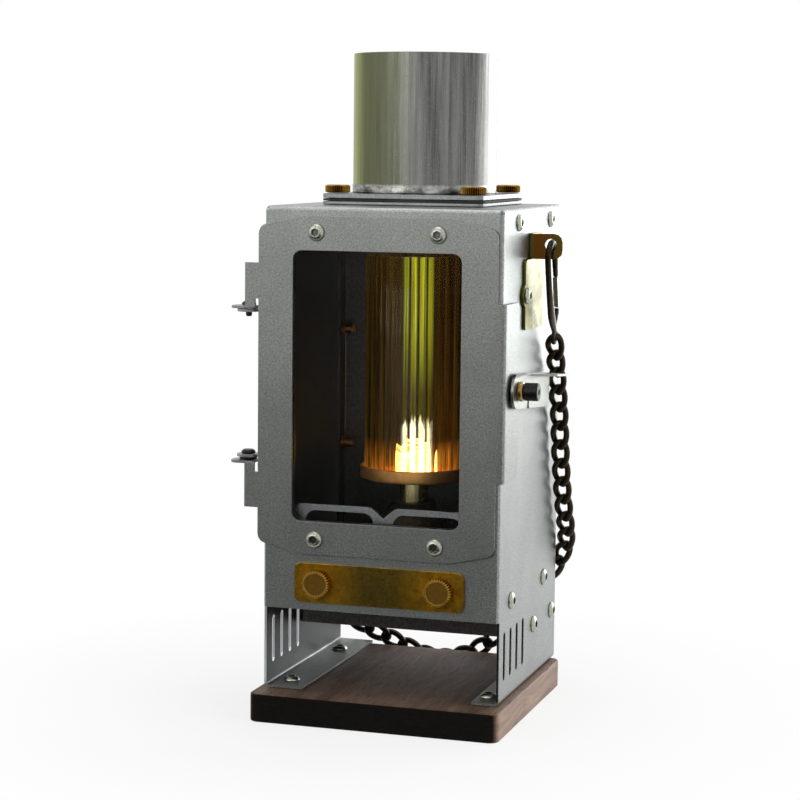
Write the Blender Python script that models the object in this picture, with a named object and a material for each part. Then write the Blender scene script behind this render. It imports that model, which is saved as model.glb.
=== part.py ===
"""Stove-shaped lantern case: folded steel box on a walnut board, with glazed door, chimney, chain and lamp.

Metres, +Z up. The origin is on the board's underside, below the middle of the box. The front faces -Y.
"""

import math

import bmesh
import bpy
from mathutils import Matrix, Vector
from mathutils.geometry import interpolate_bezier, tessellate_polygon

# Sheet metal and clearances
SHEET = 0.0012
BEND_RADIUS = 0.002
SEAT_GAP = 0.0003
RUNNING_GAP = 0.0003
HOLE_GAP = 0.0003
HOLE_SIDES = 10
LAP = 0.0002

# Walnut board
BOARD_THICKNESS = 0.013
BOARD_SIDE_MARGIN = 0.0030
BOARD_FRONT_MARGIN = 0.0110
BOARD_BACK_MARGIN = 0.0005
BOARD_CORNER_RADIUS = 0.0045
BOARD_EDGE_BREAK = 0.0006

# Folded box
BODY_WIDTH = 0.110
BODY_DEPTH = 0.105
BODY_HEIGHT = 0.2185
FRONT_PANEL_BOTTOM = 0.0377
LEFT_FOOT_WIDTH = 0.018
RIGHT_FOOT_WIDTH = 0.0125
RELIEF_RADIUS = 0.0011
VENT_COUNT = 4
VENT_PITCH = 0.0109
VENT_FRONT_INSET = 0.0107
VENT_WIDTH = 0.0021
VENT_BOTTOM = 0.0102
VENT_HEIGHT = 0.0217

# Inner sheets
BACK_FLANGE = 0.0084
BACK_PANEL_BOTTOM = 0.0315
TRAY_HEIGHT = 0.0490
TRAY_FLANGE = 0.0110
TRAY_FRONT_INSET = 0.0075
SHELF_BOTTOM = 0.0212
SHELF_WALL = 0.0100
SHELF_FRONT_INSET = 0.0480
ROOF_FRAME_FLANGE = 0.0125
ROOF_FRAME_FRONT_INSET = 0.0175
GUARD_INSET = 0.0051
GUARD_HALF_WIDTH = 0.0420
GUARD_HEIGHT = 0.0357
GUARD_NOTCH_DEPTH = 0.0048
GUARD_NOTCH_HALF = 0.0058
GUARD_NOTCH_CORNER = 0.0040
GUARD_SLOT_START = 0.0048
GUARD_CORNER = 0.0030
GUARD_SLOT_HEIGHT = 0.0096
GUARD_RIM = 0.0028
GUARD_FOOT = 0.0090

# Chimney
CHIMNEY_RADIUS = 0.0330
CHIMNEY_WALL = 0.0012
CHIMNEY_HEIGHT = 0.0660
CHIMNEY_Y = 0.0100
FLUE_RADIUS = 0.0310
FLUE_SIDES = 36
FLANGE_WIDTH = 0.0763
FLANGE_DEPTH = 0.0721
FLANGE_CORNER = 0.0040
FLANGE_THICKNESS = 0.0020
GASKET_THICKNESS = 0.0009
FRAME_THICKNESS = 0.0013
FLANGE_SCREW_INSET = 0.0061

# Screws
KNURL_TEETH = 18
KNURL_RADIUS = 0.0055
KNURL_DEPTH = 0.00035
KNURL_HEIGHT = 0.0036
BUTTON_RADIUS = 0.0038
BUTTON_HEIGHT = 0.0022
BUTTON_SOCKET = 0.00125
SHANK_RADIUS = 0.0017
SCREW_TAIL = 0.0010
FOOT_SCREW_DEPTH = 0.0085
FOOT_SCREW_SIDE_INSET = 0.0092
FOOT_SCREW_FRONT_INSET = 0.0130
FOOT_SCREW_BACK_INSET = 0.0245

# Door
DOOR_GAP = 0.0004
DOOR_BOTTOM_HEIGHT = 0.0632
DOOR_TOP_MARGIN = 0.0042
DOOR_LEFT_OVERHANG = 0.0023
DOOR_RIGHT_INSET = 0.0019
DOOR_SHOULDER_RUN = 0.0200
DOOR_SHOULDER_DROP = 0.0046
DOOR_SHOULDER_RADIUS = 0.0200
DOOR_CORNER_RADIUS = 0.0045
WINDOW_WIDTH = 0.0778
WINDOW_TOP_RAIL = 0.0153
WINDOW_BOTTOM_RAIL = 0.0148
WINDOW_CORNER = 0.0040
GLASS_THICKNESS = 0.0020
GLASS_LAP = 0.0028
RETAINER_LAP = 0.0051
RETAINER_RAIL = 0.0116
OPENING_GAP = 0.0012
OPENING_CORNER = 0.0100
RETAINER_CORNER = 0.0090
DOOR_SCREW_HALF_SPACING = 0.0280
DOOR_SCREW_RAIL = 0.0080

# Return flange and latch
FLANGE_BOTTOM_HEIGHT = 0.0995
FLANGE_HEIGHT = 0.0780
FLANGE_SIDE_GAP = 0.0008
FLANGE_REACH = 0.0226
LATCH_HEIGHT = 0.1390
LATCH_PIVOT_INSET = 0.0125
LATCH_SLOPE = math.radians(4.8)
LEVER_HALF_HEIGHT = 0.0078
LEVER_NOSE = 0.0095
LEVER_TAIL = 0.0560
LEVER_CORNER = 0.0022
NOTCH_DISTANCE = 0.0174
NOTCH_WIDTH = 0.0028
NOTCH_DEPTH = 0.0046
NOTCH_MOUTH = 0.0056
TAB_REACH = 0.0103
TAB_START = 0.0215
TAB_SLANT = 0.0070
TAB_CORNER = 0.0020
SPACER_RADIUS = 0.0050
SPACER_THICKNESS = 0.0006
BUSH_RADIUS = 0.0044
BUSH_THICKNESS = 0.0023
KNOB_RADIUS = 0.0040
KNOB_LENGTH = 0.0062
KNOB_SOCKET = 0.0014
KNOB_EDGE = 0.0004
RING_EDGE = 0.0008
STUD_RADIUS = 0.0011
STUD_HEAD_RADIUS = 0.0026

# Hinges
HINGE_OFFSET = 0.0088
HINGE_DEPTH = 0.0042
HINGE_TAB_REACH = 0.0064
HINGE_TAB_HEIGHT = 0.0190
HINGE_RELIEF = 0.0016
HINGE_RELIEF_HEIGHT = 0.0035
UPPER_EAR_HEIGHT = 0.1729
LOWER_EAR_HEIGHT = 0.1032
EAR_LEFT_REACH = 0.0075
EAR_RIGHT_REACH = 0.0039
EAR_BACK_REACH = 0.0050
EAR_CORNER = 0.0036
EAR_RADIUS = 0.0052
BRACKET_LEG_HEIGHT = 0.0200
BRACKET_LEG_DEPTH = 0.0130
BRACKET_LEG_LEAD = 0.0018
HINGE_SHANK_RADIUS = 0.0014
HINGE_HEAD_RADIUS = 0.0032
HINGE_HEAD_HEIGHT = 0.0016
HINGE_SHANK_LENGTH = 0.0052
BOLT_TIP = 0.0005
WASHER_RADIUS = 0.0040
WASHER_THICKNESS = 0.0009

# Nameplate
PLATE_HALF_WIDTH = 0.0395
PLATE_HEIGHT = 0.0178
PLATE_DOOR_GAP = 0.0040
PLATE_CORNER = 0.0030
PLATE_SCREW_HALF_SPACING = 0.0283

# Chain brackets
BRACKET_BOTTOM_DROP = 0.0545
BRACKET_STEP_DROP = 0.0230
BRACKET_TOP_DROP = 0.0115
BRACKET_FRONT_Y = -0.0190
BRACKET_BACK_Y = 0.0130
BRACKET_EAR_Y = -0.0090
BRACKET_EAR_REACH = 0.0152
BRACKET_EAR_CORNER = 0.0040
BRACKET_HOLE_RADIUS = 0.00275
BRACKET_HOLE_REACH = 0.0097
BRACKET_HOLE_DROP = 0.0166
BRACKET_LOBE_RADIUS = 0.0053
BRACKET_CORNER = 0.0015
BRACKET_SCREW_Y = -0.0175
BRACKET_SCREW_DROP = 0.0391

# Snap hooks
HOOK_WIRE = 0.0028
HOOK_HALF_SPACING = 0.00575
HOOK_LENGTH = 0.0500
HOOK_SLOT_END = 0.0375
HOOK_NOSE_END = 0.0206
HOOK_BODY_END = 0.0395
HOOK_NECK_HALF = 0.0024
HOOK_SHOULDER = 0.0040
HOOK_TAPER = 0.0045
HOOK_EDGE_BREAK = 0.0006
HOOK_EYE_OUTER = 0.0037
HOOK_EYE_HOLE = 0.00175
HOOK_EYE_THICKNESS = 0.0020
HOOK_BACK_SLANT = math.radians(29.0)
HOOK_SIDE_LEAN = math.radians(4.6)
HOOK_SEAT_LIFT = 0.00045
GATE_WIDTH = 0.0022
GATE_PIVOT_RADIUS = 0.0013
GATE_THUMB_REACH = 0.0028
GATE_NUB_ROOT = 0.0018
GATE_NUB_TIP = 0.0010
GATE_NUB_CORNER = 0.0006

# Chain
CHAIN_WIRE = 0.0024
CHAIN_WIDTH = 0.0084
CHAIN_PITCH = 0.0088
CHAIN_WELD = 0.0010
CHAIN_RING_POINTS = 8
CHAIN_WIRE_SIDES = 5
CHAIN_SAMPLES = 24

# Lamp
LAMP_X = 0.0
LAMP_Y = -0.0010
LAMP_FOOT_RADIUS = 0.0210
LAMP_NECK_RADIUS = 0.0100
LAMP_BASE_HEIGHT = 0.0320
LAMP_RIM = 0.0040
LAMP_STEP = 0.0025
COLLAR_RADIUS = 0.0065
COLLAR_HEIGHT = 0.0105
GALLERY_RADIUS = 0.0250
GALLERY_FLOOR = 0.0015
GALLERY_HEIGHT = 0.0060
GALLERY_EDGE = 0.0012
GLASS_RADIUS = 0.0232
GLASS_WALL = 0.0020
GLASS_HEIGHT = 0.1013
FLUTE_COUNT = 36
FLUTE_DEPTH = 0.0005
FLUTE_POINTS = 4
EMITTER_RADIUS = 0.0090
EMITTER_HEIGHT = 0.0180

# Levels and faces that follow from the sizes above
HALF_WIDTH = BODY_WIDTH / 2
FRONT = -BODY_DEPTH / 2
BACK = BODY_DEPTH / 2
BASE = BOARD_THICKNESS + SEAT_GAP
ROOF = BOARD_THICKNESS + BODY_HEIGHT
INNER_HALF = HALF_WIDTH - SHEET - SEAT_GAP
DOOR_BACK = FRONT - DOOR_GAP
DOOR_FACE = DOOR_BACK - SHEET
DOOR_LEFT = -HALF_WIDTH - DOOR_LEFT_OVERHANG
DOOR_RIGHT = HALF_WIDTH - DOOR_RIGHT_INSET
DOOR_MIDDLE = (DOOR_LEFT + DOOR_RIGHT) / 2
DOOR_BOTTOM = BOARD_THICKNESS + DOOR_BOTTOM_HEIGHT
DOOR_TOP = ROOF - DOOR_TOP_MARGIN
WINDOW_LOW = DOOR_BOTTOM + WINDOW_BOTTOM_RAIL
WINDOW_HIGH = DOOR_TOP - WINDOW_TOP_RAIL
WINDOW_HALF = WINDOW_WIDTH / 2
RETAINER_HALF = WINDOW_HALF + RETAINER_LAP
RETAINER_LOW = WINDOW_LOW - RETAINER_RAIL
RETAINER_HIGH = WINDOW_HIGH + RETAINER_RAIL
GLASS_FRONT = DOOR_BACK + SEAT_GAP
RETAINER_FRONT = GLASS_FRONT + GLASS_THICKNESS + SEAT_GAP
DOOR_SCREW_PLACES = [
    (DOOR_MIDDLE + side * DOOR_SCREW_HALF_SPACING, level)
    for level in (WINDOW_LOW - DOOR_SCREW_RAIL, WINDOW_HIGH + DOOR_SCREW_RAIL)
    for side in (-1, 1)
]
HINGE_X = -HALF_WIDTH - HINGE_OFFSET
HINGE_Y = DOOR_BACK + HINGE_DEPTH
UPPER_EAR = BOARD_THICKNESS + UPPER_EAR_HEIGHT
LOWER_EAR = BOARD_THICKNESS + LOWER_EAR_HEIGHT
FLANGE_INNER = HALF_WIDTH + FLANGE_SIDE_GAP
FLANGE_OUTER = FLANGE_INNER + SHEET
FLANGE_LOW = BOARD_THICKNESS + FLANGE_BOTTOM_HEIGHT
SPACER_FACE = FLANGE_OUTER + SEAT_GAP
LEVER_FACE = SPACER_FACE + SPACER_THICKNESS + RUNNING_GAP
BUSH_FACE = LEVER_FACE + SHEET + RUNNING_GAP
KNOB_FACE = BUSH_FACE + BUSH_THICKNESS + SEAT_GAP
LATCH_PIVOT = Vector((0, FRONT + LATCH_PIVOT_INSET, BOARD_THICKNESS + LATCH_HEIGHT))
TRAY_TOP = BOARD_THICKNESS + TRAY_HEIGHT
SHELF_LOW = BOARD_THICKNESS + SHELF_BOTTOM
BACK_PANEL_FRONT = BACK - SHEET
PLATE_LOW = DOOR_BOTTOM - PLATE_DOOR_GAP - PLATE_HEIGHT
PLATE_BACK = FRONT - SEAT_GAP
PLATE_FACE = PLATE_BACK - SHEET
PLATE_SCREW_LEVEL = PLATE_LOW + PLATE_HEIGHT / 2
FLANGE_FRAME = ROOF + SEAT_GAP
FLANGE_GASKET = FLANGE_FRAME + FRAME_THICKNESS + SEAT_GAP
FLANGE_PLATE = FLANGE_GASKET + GASKET_THICKNESS + SEAT_GAP
FLANGE_SCREW_PLACES = [
    (
        side * (FLANGE_WIDTH / 2 - FLANGE_SCREW_INSET),
        CHIMNEY_Y + end * (FLANGE_DEPTH / 2 - FLANGE_SCREW_INSET),
    )
    for end in (-1, 1)
    for side in (-1, 1)
]
LEFT_FOOT_SCREW_X = -HALF_WIDTH + FOOT_SCREW_SIDE_INSET
RIGHT_FOOT_SCREW_X = HALF_WIDTH - RIGHT_FOOT_WIDTH / 2 - SHEET
FOOT_SCREW_PLACES = [
    (across, deep)
    for deep in (FRONT + FOOT_SCREW_FRONT_INSET, BACK - FOOT_SCREW_BACK_INSET)
    for across in (LEFT_FOOT_SCREW_X, RIGHT_FOOT_SCREW_X)
]
SIDE_FACE = HALF_WIDTH + SEAT_GAP
EAR_MIDDLE_Y = BRACKET_EAR_Y + SHEET / 2
EAR_HOLE = Vector((SIDE_FACE + BRACKET_HOLE_REACH, EAR_MIDDLE_Y, ROOF - BRACKET_HOLE_DROP))
GALLERY_BOTTOM = TRAY_TOP + SEAT_GAP + LAMP_BASE_HEIGHT + SEAT_GAP + COLLAR_HEIGHT + SEAT_GAP
GLASS_BOTTOM = GALLERY_BOTTOM + GALLERY_FLOOR + SEAT_GAP

# Chain route, chosen by hand: each half from its hook down to the middle, as the distance
# out from the box's side, the distance behind its back, and the height
CHAIN_ROUTE_RIGHT = [
    (0.0055, -0.0295, 0.1580),
    (0.0052, -0.0250, 0.1480),
    (0.0050, -0.0207, 0.1380),
    (0.0050, -0.0180, 0.1280),
    (0.0050, -0.0157, 0.1150),
    (0.0050, -0.0125, 0.1030),
    (0.0051, -0.0090, 0.0920),
    (0.0052, -0.0045, 0.0810),
    (0.0047, 0.0020, 0.0710),
    (0.0010, 0.0065, 0.0620),
    (-0.0060, 0.0075, 0.0510),
    (-0.0170, 0.0075, 0.0360),
    (-0.0326, 0.0075, 0.0192),
    (-0.0431, 0.0075, 0.0109),
]
CHAIN_ROUTE_LEFT = [
    (0.0055, -0.0265, 0.1530),
    (0.0050, -0.0200, 0.1350),
    (0.0050, -0.0163, 0.1170),
    (0.0050, -0.0130, 0.0980),
    (0.0052, -0.0077, 0.0790),
    (0.0054, -0.0035, 0.0650),
    (0.0057, 0.0007, 0.0535),
    (0.0052, 0.0043, 0.0425),
    (0.0018, 0.0067, 0.0325),
    (-0.0045, 0.0075, 0.0240),
    (-0.0147, 0.0075, 0.0188),
    (-0.0246, 0.0075, 0.0151),
    (-0.0361, 0.0075, 0.0104),
    (-0.0500, 0.0075, 0.0066),
]


def clear_scene():
    for thing in list(bpy.data.objects):
        bpy.data.objects.remove(thing, do_unlink=True)


def finish_of(name, colour, roughness, metallic):
    material = bpy.data.materials.new(name)
    material.use_nodes = True
    shader = material.node_tree.nodes["Principled BSDF"]
    shader.inputs["Base Color"].default_value = (*colour, 1)
    shader.inputs["Roughness"].default_value = roughness
    shader.inputs["Metallic"].default_value = metallic
    return material


def rounded(corners, steps=4):
    """Outline of straight sides with arcs at its corners. Each corner is (x, y, radius)."""
    points = []
    for index, (x, y, radius) in enumerate(corners):
        here = Vector((x, y))
        if radius <= 0:
            points.append(here)
            continue
        back = (Vector(corners[index - 1][:2]) - here).normalized()
        ahead = (Vector(corners[(index + 1) % len(corners)][:2]) - here).normalized()
        half = back.angle(ahead) / 2
        centre = here + (back + ahead).normalized() * (radius / math.sin(half))
        start = here + back * (radius / math.tan(half)) - centre
        turn = (math.pi - 2 * half) * (1 if back.cross(ahead) < 0 else -1)
        for step in range(steps + 1):
            points.append(centre + Matrix.Rotation(turn * step / steps, 2) @ start)
    return points


def rectangle(left, right, low, high, radius=0.0, steps=4):
    corners = [(left, low), (right, low), (right, high), (left, high)]
    return rounded([(x, y, radius) for x, y in corners], steps)


def circle(x, y, radius, sides=16):
    turns = [2 * math.pi * step / sides for step in range(sides)]
    return [Vector((x + radius * math.cos(turn), y + radius * math.sin(turn))) for turn in turns]


def along(axis, u, v, height):
    """Point of a drawing plane square to the axis: X looks at (y, z), Y at (x, z) and Z at (x, y)."""
    return {"X": (height, u, v), "Y": (u, height, v), "Z": (u, v, height)}[axis]


def slab(axis, outline, low, high, holes=()):
    """Flat plate: an outline with holes, from low to high along the axis."""
    loops = [list(outline)] + [list(hole) for hole in holes]
    flat = [point for loop in loops for point in loop]
    triangles = tessellate_polygon([[Vector((p[0], p[1], 0)) for p in loop] for loop in loops])
    mesh = bmesh.new()
    lower = [mesh.verts.new(along(axis, p[0], p[1], low)) for p in flat]
    upper = [mesh.verts.new(along(axis, p[0], p[1], high)) for p in flat]
    for a, b, c in triangles:
        mesh.faces.new((lower[a], lower[b], lower[c]))
        mesh.faces.new((upper[c], upper[b], upper[a]))
    start = 0
    for loop in loops:
        for step in range(len(loop)):
            a = start + step
            b = start + (step + 1) % len(loop)
            mesh.faces.new((lower[a], lower[b], upper[b], upper[a]))
        start += len(loop)
    bmesh.ops.recalc_face_normals(mesh, faces=mesh.faces)
    return mesh


def turned(axis, profile, centre=(0, 0), sides=20):
    """Turned body: the profile is a closed loop of (radius, height), which may touch the axis at its ends."""
    mesh = bmesh.new()
    rings = []
    for radius, height in profile:
        if radius < 1e-9:
            rings.append([mesh.verts.new(along(axis, *centre, height))])
            continue
        turns = [2 * math.pi * step / sides for step in range(sides)]
        rings.append([
            mesh.verts.new(
                along(axis, centre[0] + radius * math.cos(t), centre[1] + radius * math.sin(t), height)
            )
            for t in turns
        ])
    for index, ring in enumerate(rings):
        following = rings[(index + 1) % len(rings)]
        if len(ring) == 1 and len(following) == 1:
            continue
        for step in range(sides):
            onward = (step + 1) % sides
            corners = [ring[step % len(ring)], ring[onward % len(ring)]]
            corners += [following[onward % len(following)], following[step % len(following)]]
            mesh.faces.new(dict.fromkeys(corners))
    bmesh.ops.recalc_face_normals(mesh, faces=mesh.faces)
    return mesh


def cylinder(axis, u, v, radius, low, high, sides=16):
    return turned(axis, [(0, low), (radius, low), (radius, high), (0, high)], (u, v), sides)


def block(left, right, front, back, low, high):
    return slab("Z", rectangle(left, right, front, back), low, high)


def merged(meshes):
    """One mesh of several separate bodies, for a cutter."""
    whole = bmesh.new()
    for mesh in meshes:
        data = bpy.data.meshes.new("tool")
        mesh.to_mesh(data)
        mesh.free()
        whole.from_mesh(data)
        bpy.data.meshes.remove(data)
    return whole


def node(name, mesh, material, axis_empty=None):
    data = bpy.data.meshes.new(name)
    mesh.to_mesh(data)
    mesh.free()
    thing = bpy.data.objects.new(name, data)
    bpy.context.scene.collection.objects.link(thing)
    if material:
        data.materials.append(material)
    if axis_empty:
        thing.parent = axis_empty
        thing.matrix_parent_inverse = Matrix.Translation(-whereabouts(axis_empty))
    return thing


def whereabouts(empty):
    place = empty.location.copy()
    while empty.parent:
        empty = empty.parent
        place += empty.location
    return place


def pivot(name, place, parent=None):
    """Empty on a joint's axis, which carries what moves about it."""
    empty = bpy.data.objects.new(name, None)
    empty.empty_display_size = 0.01
    empty.location = place
    if parent:
        empty.parent = parent
        empty.location = Vector(place) - whereabouts(parent)
    bpy.context.scene.collection.objects.link(empty)
    return empty


def shape_with(thing, operation, tools):
    """Boolean of a node with one or more separate bodies."""
    tool = node(f"{thing.name}_{operation.lower()}_{len(thing.modifiers)}", merged(tools), None)
    tool.hide_render = True
    tool.display_type = "WIRE"
    change = thing.modifiers.new(operation.lower(), "BOOLEAN")
    change.operation = operation
    change.solver = "EXACT"
    change.object = tool


def cut(thing, *tools):
    shape_with(thing, "DIFFERENCE", tools)


def join(thing, *tools):
    for tool in tools:
        shape_with(thing, "UNION", [tool])


def smooth(thing, angle=40):
    thing.data.shade_smooth()
    thing.data.set_sharp_from_angle(angle=math.radians(angle))


def rims_of(mesh, axis):
    """Edges round the two flat faces of a slab along the axis."""
    number = "XYZ".index(axis)
    rims = []
    for edge in mesh.edges:
        levels = [vertex.co[number] for vertex in edge.verts]
        facings = {round(abs(face.normal[number])) for face in edge.link_faces}
        if abs(levels[0] - levels[1]) < 1e-6 and len(facings) == 2:
            rims.append(edge)
    return rims


# Walnut board and folded box


def base_board(material):
    outline = rectangle(
        -HALF_WIDTH - BOARD_SIDE_MARGIN,
        HALF_WIDTH + BOARD_SIDE_MARGIN,
        FRONT - BOARD_FRONT_MARGIN,
        BACK + BOARD_BACK_MARGIN,
        BOARD_CORNER_RADIUS,
        5,
    )
    mesh = slab("Z", outline, 0, BOARD_THICKNESS)
    rims = rims_of(mesh, "Z")
    bmesh.ops.bevel(mesh, geom=rims, offset=BOARD_EDGE_BREAK, segments=1, profile=0.5, affect="EDGES")
    board = node("base_board", mesh, material)
    hole = SHANK_RADIUS + HOLE_GAP
    low = BASE + SHEET - FOOT_SCREW_DEPTH - HOLE_GAP
    cut(board, *[cylinder("Z", x, y, hole, low, BASE, HOLE_SIDES) for x, y in FOOT_SCREW_PLACES])


def folded_block(inset, radius, back):
    """Block inside the folds of the box, inset from its outer faces."""
    mesh = block(-HALF_WIDTH + inset, HALF_WIDTH - inset, FRONT + inset, back, BASE + inset, ROOF - inset)
    bmesh.ops.dissolve_limit(mesh, angle_limit=0.01, verts=mesh.verts, edges=mesh.edges)
    folds = []
    for edge in mesh.edges:
        middle = (edge.verts[0].co + edge.verts[1].co) / 2
        run = edge.verts[0].co - edge.verts[1].co
        lengthwise = abs(run.y) > BODY_DEPTH / 2
        front_fold = middle.y < 0 and not lengthwise and middle.z > BASE + inset + radius
        if lengthwise or front_fold:
            folds.append(edge)
    bmesh.ops.bevel(mesh, geom=folds, offset=radius, segments=3, profile=0.5, affect="EDGES")
    return mesh


def door_opening():
    margin = RETAINER_HALF + OPENING_GAP
    return rectangle(
        DOOR_MIDDLE - margin,
        DOOR_MIDDLE + margin,
        RETAINER_LOW - OPENING_GAP,
        RETAINER_HIGH + OPENING_GAP,
        OPENING_CORNER,
        4,
    )


def vent_cutters():
    tools = []
    low = BOARD_THICKNESS + VENT_BOTTOM
    for index in range(VENT_COUNT):
        front = FRONT + VENT_FRONT_INSET + index * VENT_PITCH - VENT_WIDTH / 2
        outline = rectangle(front, front + VENT_WIDTH, low, low + VENT_HEIGHT, VENT_WIDTH * 0.49, 3)
        tools.append(slab("X", outline, -HALF_WIDTH - SHEET, HALF_WIDTH + SHEET))
    return tools


def outer_shell(material):
    """Folded sheet: a block less its inside, the gap between its feet, the open front below and its holes."""
    shell = node("outer_shell", folded_block(0, BEND_RADIUS, BACK), material)
    hole = SHANK_RADIUS + HOLE_GAP
    small = STUD_RADIUS + HOLE_GAP
    stud_y, stud_z = stud_place()
    left = -HALF_WIDTH - SHEET
    right = HALF_WIDTH + SHEET
    panel_bottom = BOARD_THICKNESS + FRONT_PANEL_BOTTOM
    fold_end = FRONT + BEND_RADIUS + LAP
    foot_left = -HALF_WIDTH + LEFT_FOOT_WIDTH
    foot_right = HALF_WIDTH - RIGHT_FOOT_WIDTH
    tools = [
        folded_block(SHEET, BEND_RADIUS - SHEET, BACK + BEND_RADIUS),
        block(foot_left, foot_right, FRONT - SHEET, BACK + 2 * BEND_RADIUS, BASE - SHEET, BASE + 2 * SHEET),
        block(left, right, FRONT - SHEET, fold_end, BASE - 2 * SHEET, panel_bottom),
        slab("Y", door_opening(), FRONT - SHEET, FRONT + 2 * SHEET),
        cylinder("Z", 0, CHIMNEY_Y, FLUE_RADIUS, ROOF - 2 * SHEET, ROOF + SHEET, FLUE_SIDES),
        cylinder("X", BRACKET_SCREW_Y, ROOF - BRACKET_SCREW_DROP, hole, left, right, HOLE_SIDES),
        cylinder("X", stud_y, stud_z, small, HALF_WIDTH - 2 * SHEET, right, HOLE_SIDES),
    ]
    tools += vent_cutters()
    for places, level in ((FLANGE_SCREW_PLACES, ROOF - SHEET), (FOOT_SCREW_PLACES, BASE)):
        tools += [cylinder("Z", x, y, hole, level - SHEET, level + 2 * SHEET, HOLE_SIDES) for x, y in places]
    for side in (-1, 1):
        plate_screw = (side * PLATE_SCREW_HALF_SPACING, PLATE_SCREW_LEVEL)
        tools.append(cylinder("Y", *plate_screw, hole, FRONT - SHEET, FRONT + 2 * SHEET, HOLE_SIDES))
        corner = side * (HALF_WIDTH - RELIEF_RADIUS * 0.7)
        relief_y = FRONT + RELIEF_RADIUS * 0.7
        tools.append(cylinder("Z", corner, relief_y, RELIEF_RADIUS, ROOF - BEND_RADIUS, ROOF + SHEET, 10))
    cut(shell, *tools)
    shell.modifiers[0].use_self = True


def back_panel(material):
    """Channel with both side flanges turned forward."""
    inner = SHEET
    fold = BEND_RADIUS - LAP
    profile = [
        (-INNER_HALF, BACK - BACK_FLANGE, 0),
        (-INNER_HALF + inner, BACK - BACK_FLANGE, 0),
        (-INNER_HALF + inner, BACK_PANEL_FRONT, fold - SHEET),
        (INNER_HALF - inner, BACK_PANEL_FRONT, fold - SHEET),
        (INNER_HALF - inner, BACK - BACK_FLANGE, 0),
        (INNER_HALF, BACK - BACK_FLANGE, 0),
        (INNER_HALF, BACK, fold),
        (-INNER_HALF, BACK, fold),
    ]
    low = BOARD_THICKNESS + BACK_PANEL_BOTTOM
    node("rear_panel", slab("Z", rounded(profile, 3), low, ROOF - SHEET - SEAT_GAP), material)


def folded_plate(name, front, top, flange, material):
    """Level plate with flanges down both sides and its rear corners notched round the back panel."""
    notch_y = BACK - BACK_FLANGE - SEAT_GAP
    notch_x = INNER_HALF - SHEET - SEAT_GAP
    rear = BACK_PANEL_FRONT - SEAT_GAP
    outline = [
        (-INNER_HALF, front),
        (INNER_HALF, front),
        (INNER_HALF, notch_y),
        (notch_x, notch_y),
        (notch_x, rear),
        (-notch_x, rear),
        (-notch_x, notch_y),
        (-INNER_HALF, notch_y),
    ]
    plate = node(name, slab("Z", outline, top - SHEET, top), material)
    low = top - flange
    leg = rectangle(INNER_HALF - SHEET, INNER_HALF, front, notch_y)
    other = rectangle(-INNER_HALF, -INNER_HALF + SHEET, front, notch_y)
    join(plate, slab("Z", leg, low, top - LAP), slab("Z", other, low, top - LAP))
    return plate


def floor_tray(material):
    """Floor that the lamp stands on."""
    front = FRONT + TRAY_FRONT_INSET
    folded_plate("floor_tray", front, TRAY_TOP, TRAY_FLANGE, material)


def rear_shelf(material):
    """Shallow open pan under the back half of the floor."""
    front = FRONT + SHELF_FRONT_INSET
    high = SHELF_LOW + SHELF_WALL
    inner = INNER_HALF - SHEET
    shelf = node("rear_shelf", block(-INNER_HALF, INNER_HALF, front, BACK, SHELF_LOW, high), material)
    cut(shelf, block(-inner, inner, front + SHEET, BACK - SHEET, SHELF_LOW + SHEET, high + SHEET))


def roof_frame(material):
    """Frame under the roof, open below the chimney."""
    front = FRONT + ROOF_FRAME_FRONT_INSET
    top = ROOF - SHEET - SEAT_GAP
    frame = folded_plate("roof_frame", front, top, ROOF_FRAME_FLANGE, material)
    ends = (top - 2 * SHEET, top + SHEET)
    hole = SHANK_RADIUS + HOLE_GAP
    tools = [cylinder("Z", x, y, hole, *ends, HOLE_SIDES) for x, y in FLANGE_SCREW_PLACES]
    cut(frame, cylinder("Z", 0, CHIMNEY_Y, FLUE_RADIUS, *ends, FLUE_SIDES), *tools)


def log_guard(material):
    """Low plate behind the door with a shallow V in its top edge and two long slots."""
    face = FRONT + GUARD_INSET
    low = TRAY_TOP + SEAT_GAP
    high = low + GUARD_HEIGHT
    outline = rounded([
        (-GUARD_HALF_WIDTH, low + LAP, 0),
        (GUARD_HALF_WIDTH, low + LAP, 0),
        (GUARD_HALF_WIDTH, high, GUARD_CORNER),
        (GUARD_NOTCH_HALF, high, GUARD_NOTCH_CORNER),
        (0, high - GUARD_NOTCH_DEPTH, 0),
        (-GUARD_NOTCH_HALF, high, GUARD_NOTCH_CORNER),
        (-GUARD_HALF_WIDTH, high, GUARD_CORNER),
    ], 3)
    slot_high = high - GUARD_RIM
    slot_low = slot_high - GUARD_SLOT_HEIGHT
    inner = GUARD_SLOT_START
    outer = GUARD_HALF_WIDTH - 2 * GUARD_RIM
    slots = [
        rectangle(inner, outer, slot_low, slot_high, GUARD_SLOT_HEIGHT * 0.48, 5),
        rectangle(-outer, -inner, slot_low, slot_high, GUARD_SLOT_HEIGHT * 0.48, 5),
    ]
    guard = node("log_guard", slab("Y", outline, face, face + SHEET, slots), material)
    half = GUARD_HALF_WIDTH - LAP
    join(guard, block(-half, half, face + LAP, face + GUARD_FOOT, low, low + SHEET))


# Chimney


def flange_outline():
    return rectangle(
        -FLANGE_WIDTH / 2,
        FLANGE_WIDTH / 2,
        CHIMNEY_Y - FLANGE_DEPTH / 2,
        CHIMNEY_Y + FLANGE_DEPTH / 2,
        FLANGE_CORNER,
        3,
    )


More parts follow.
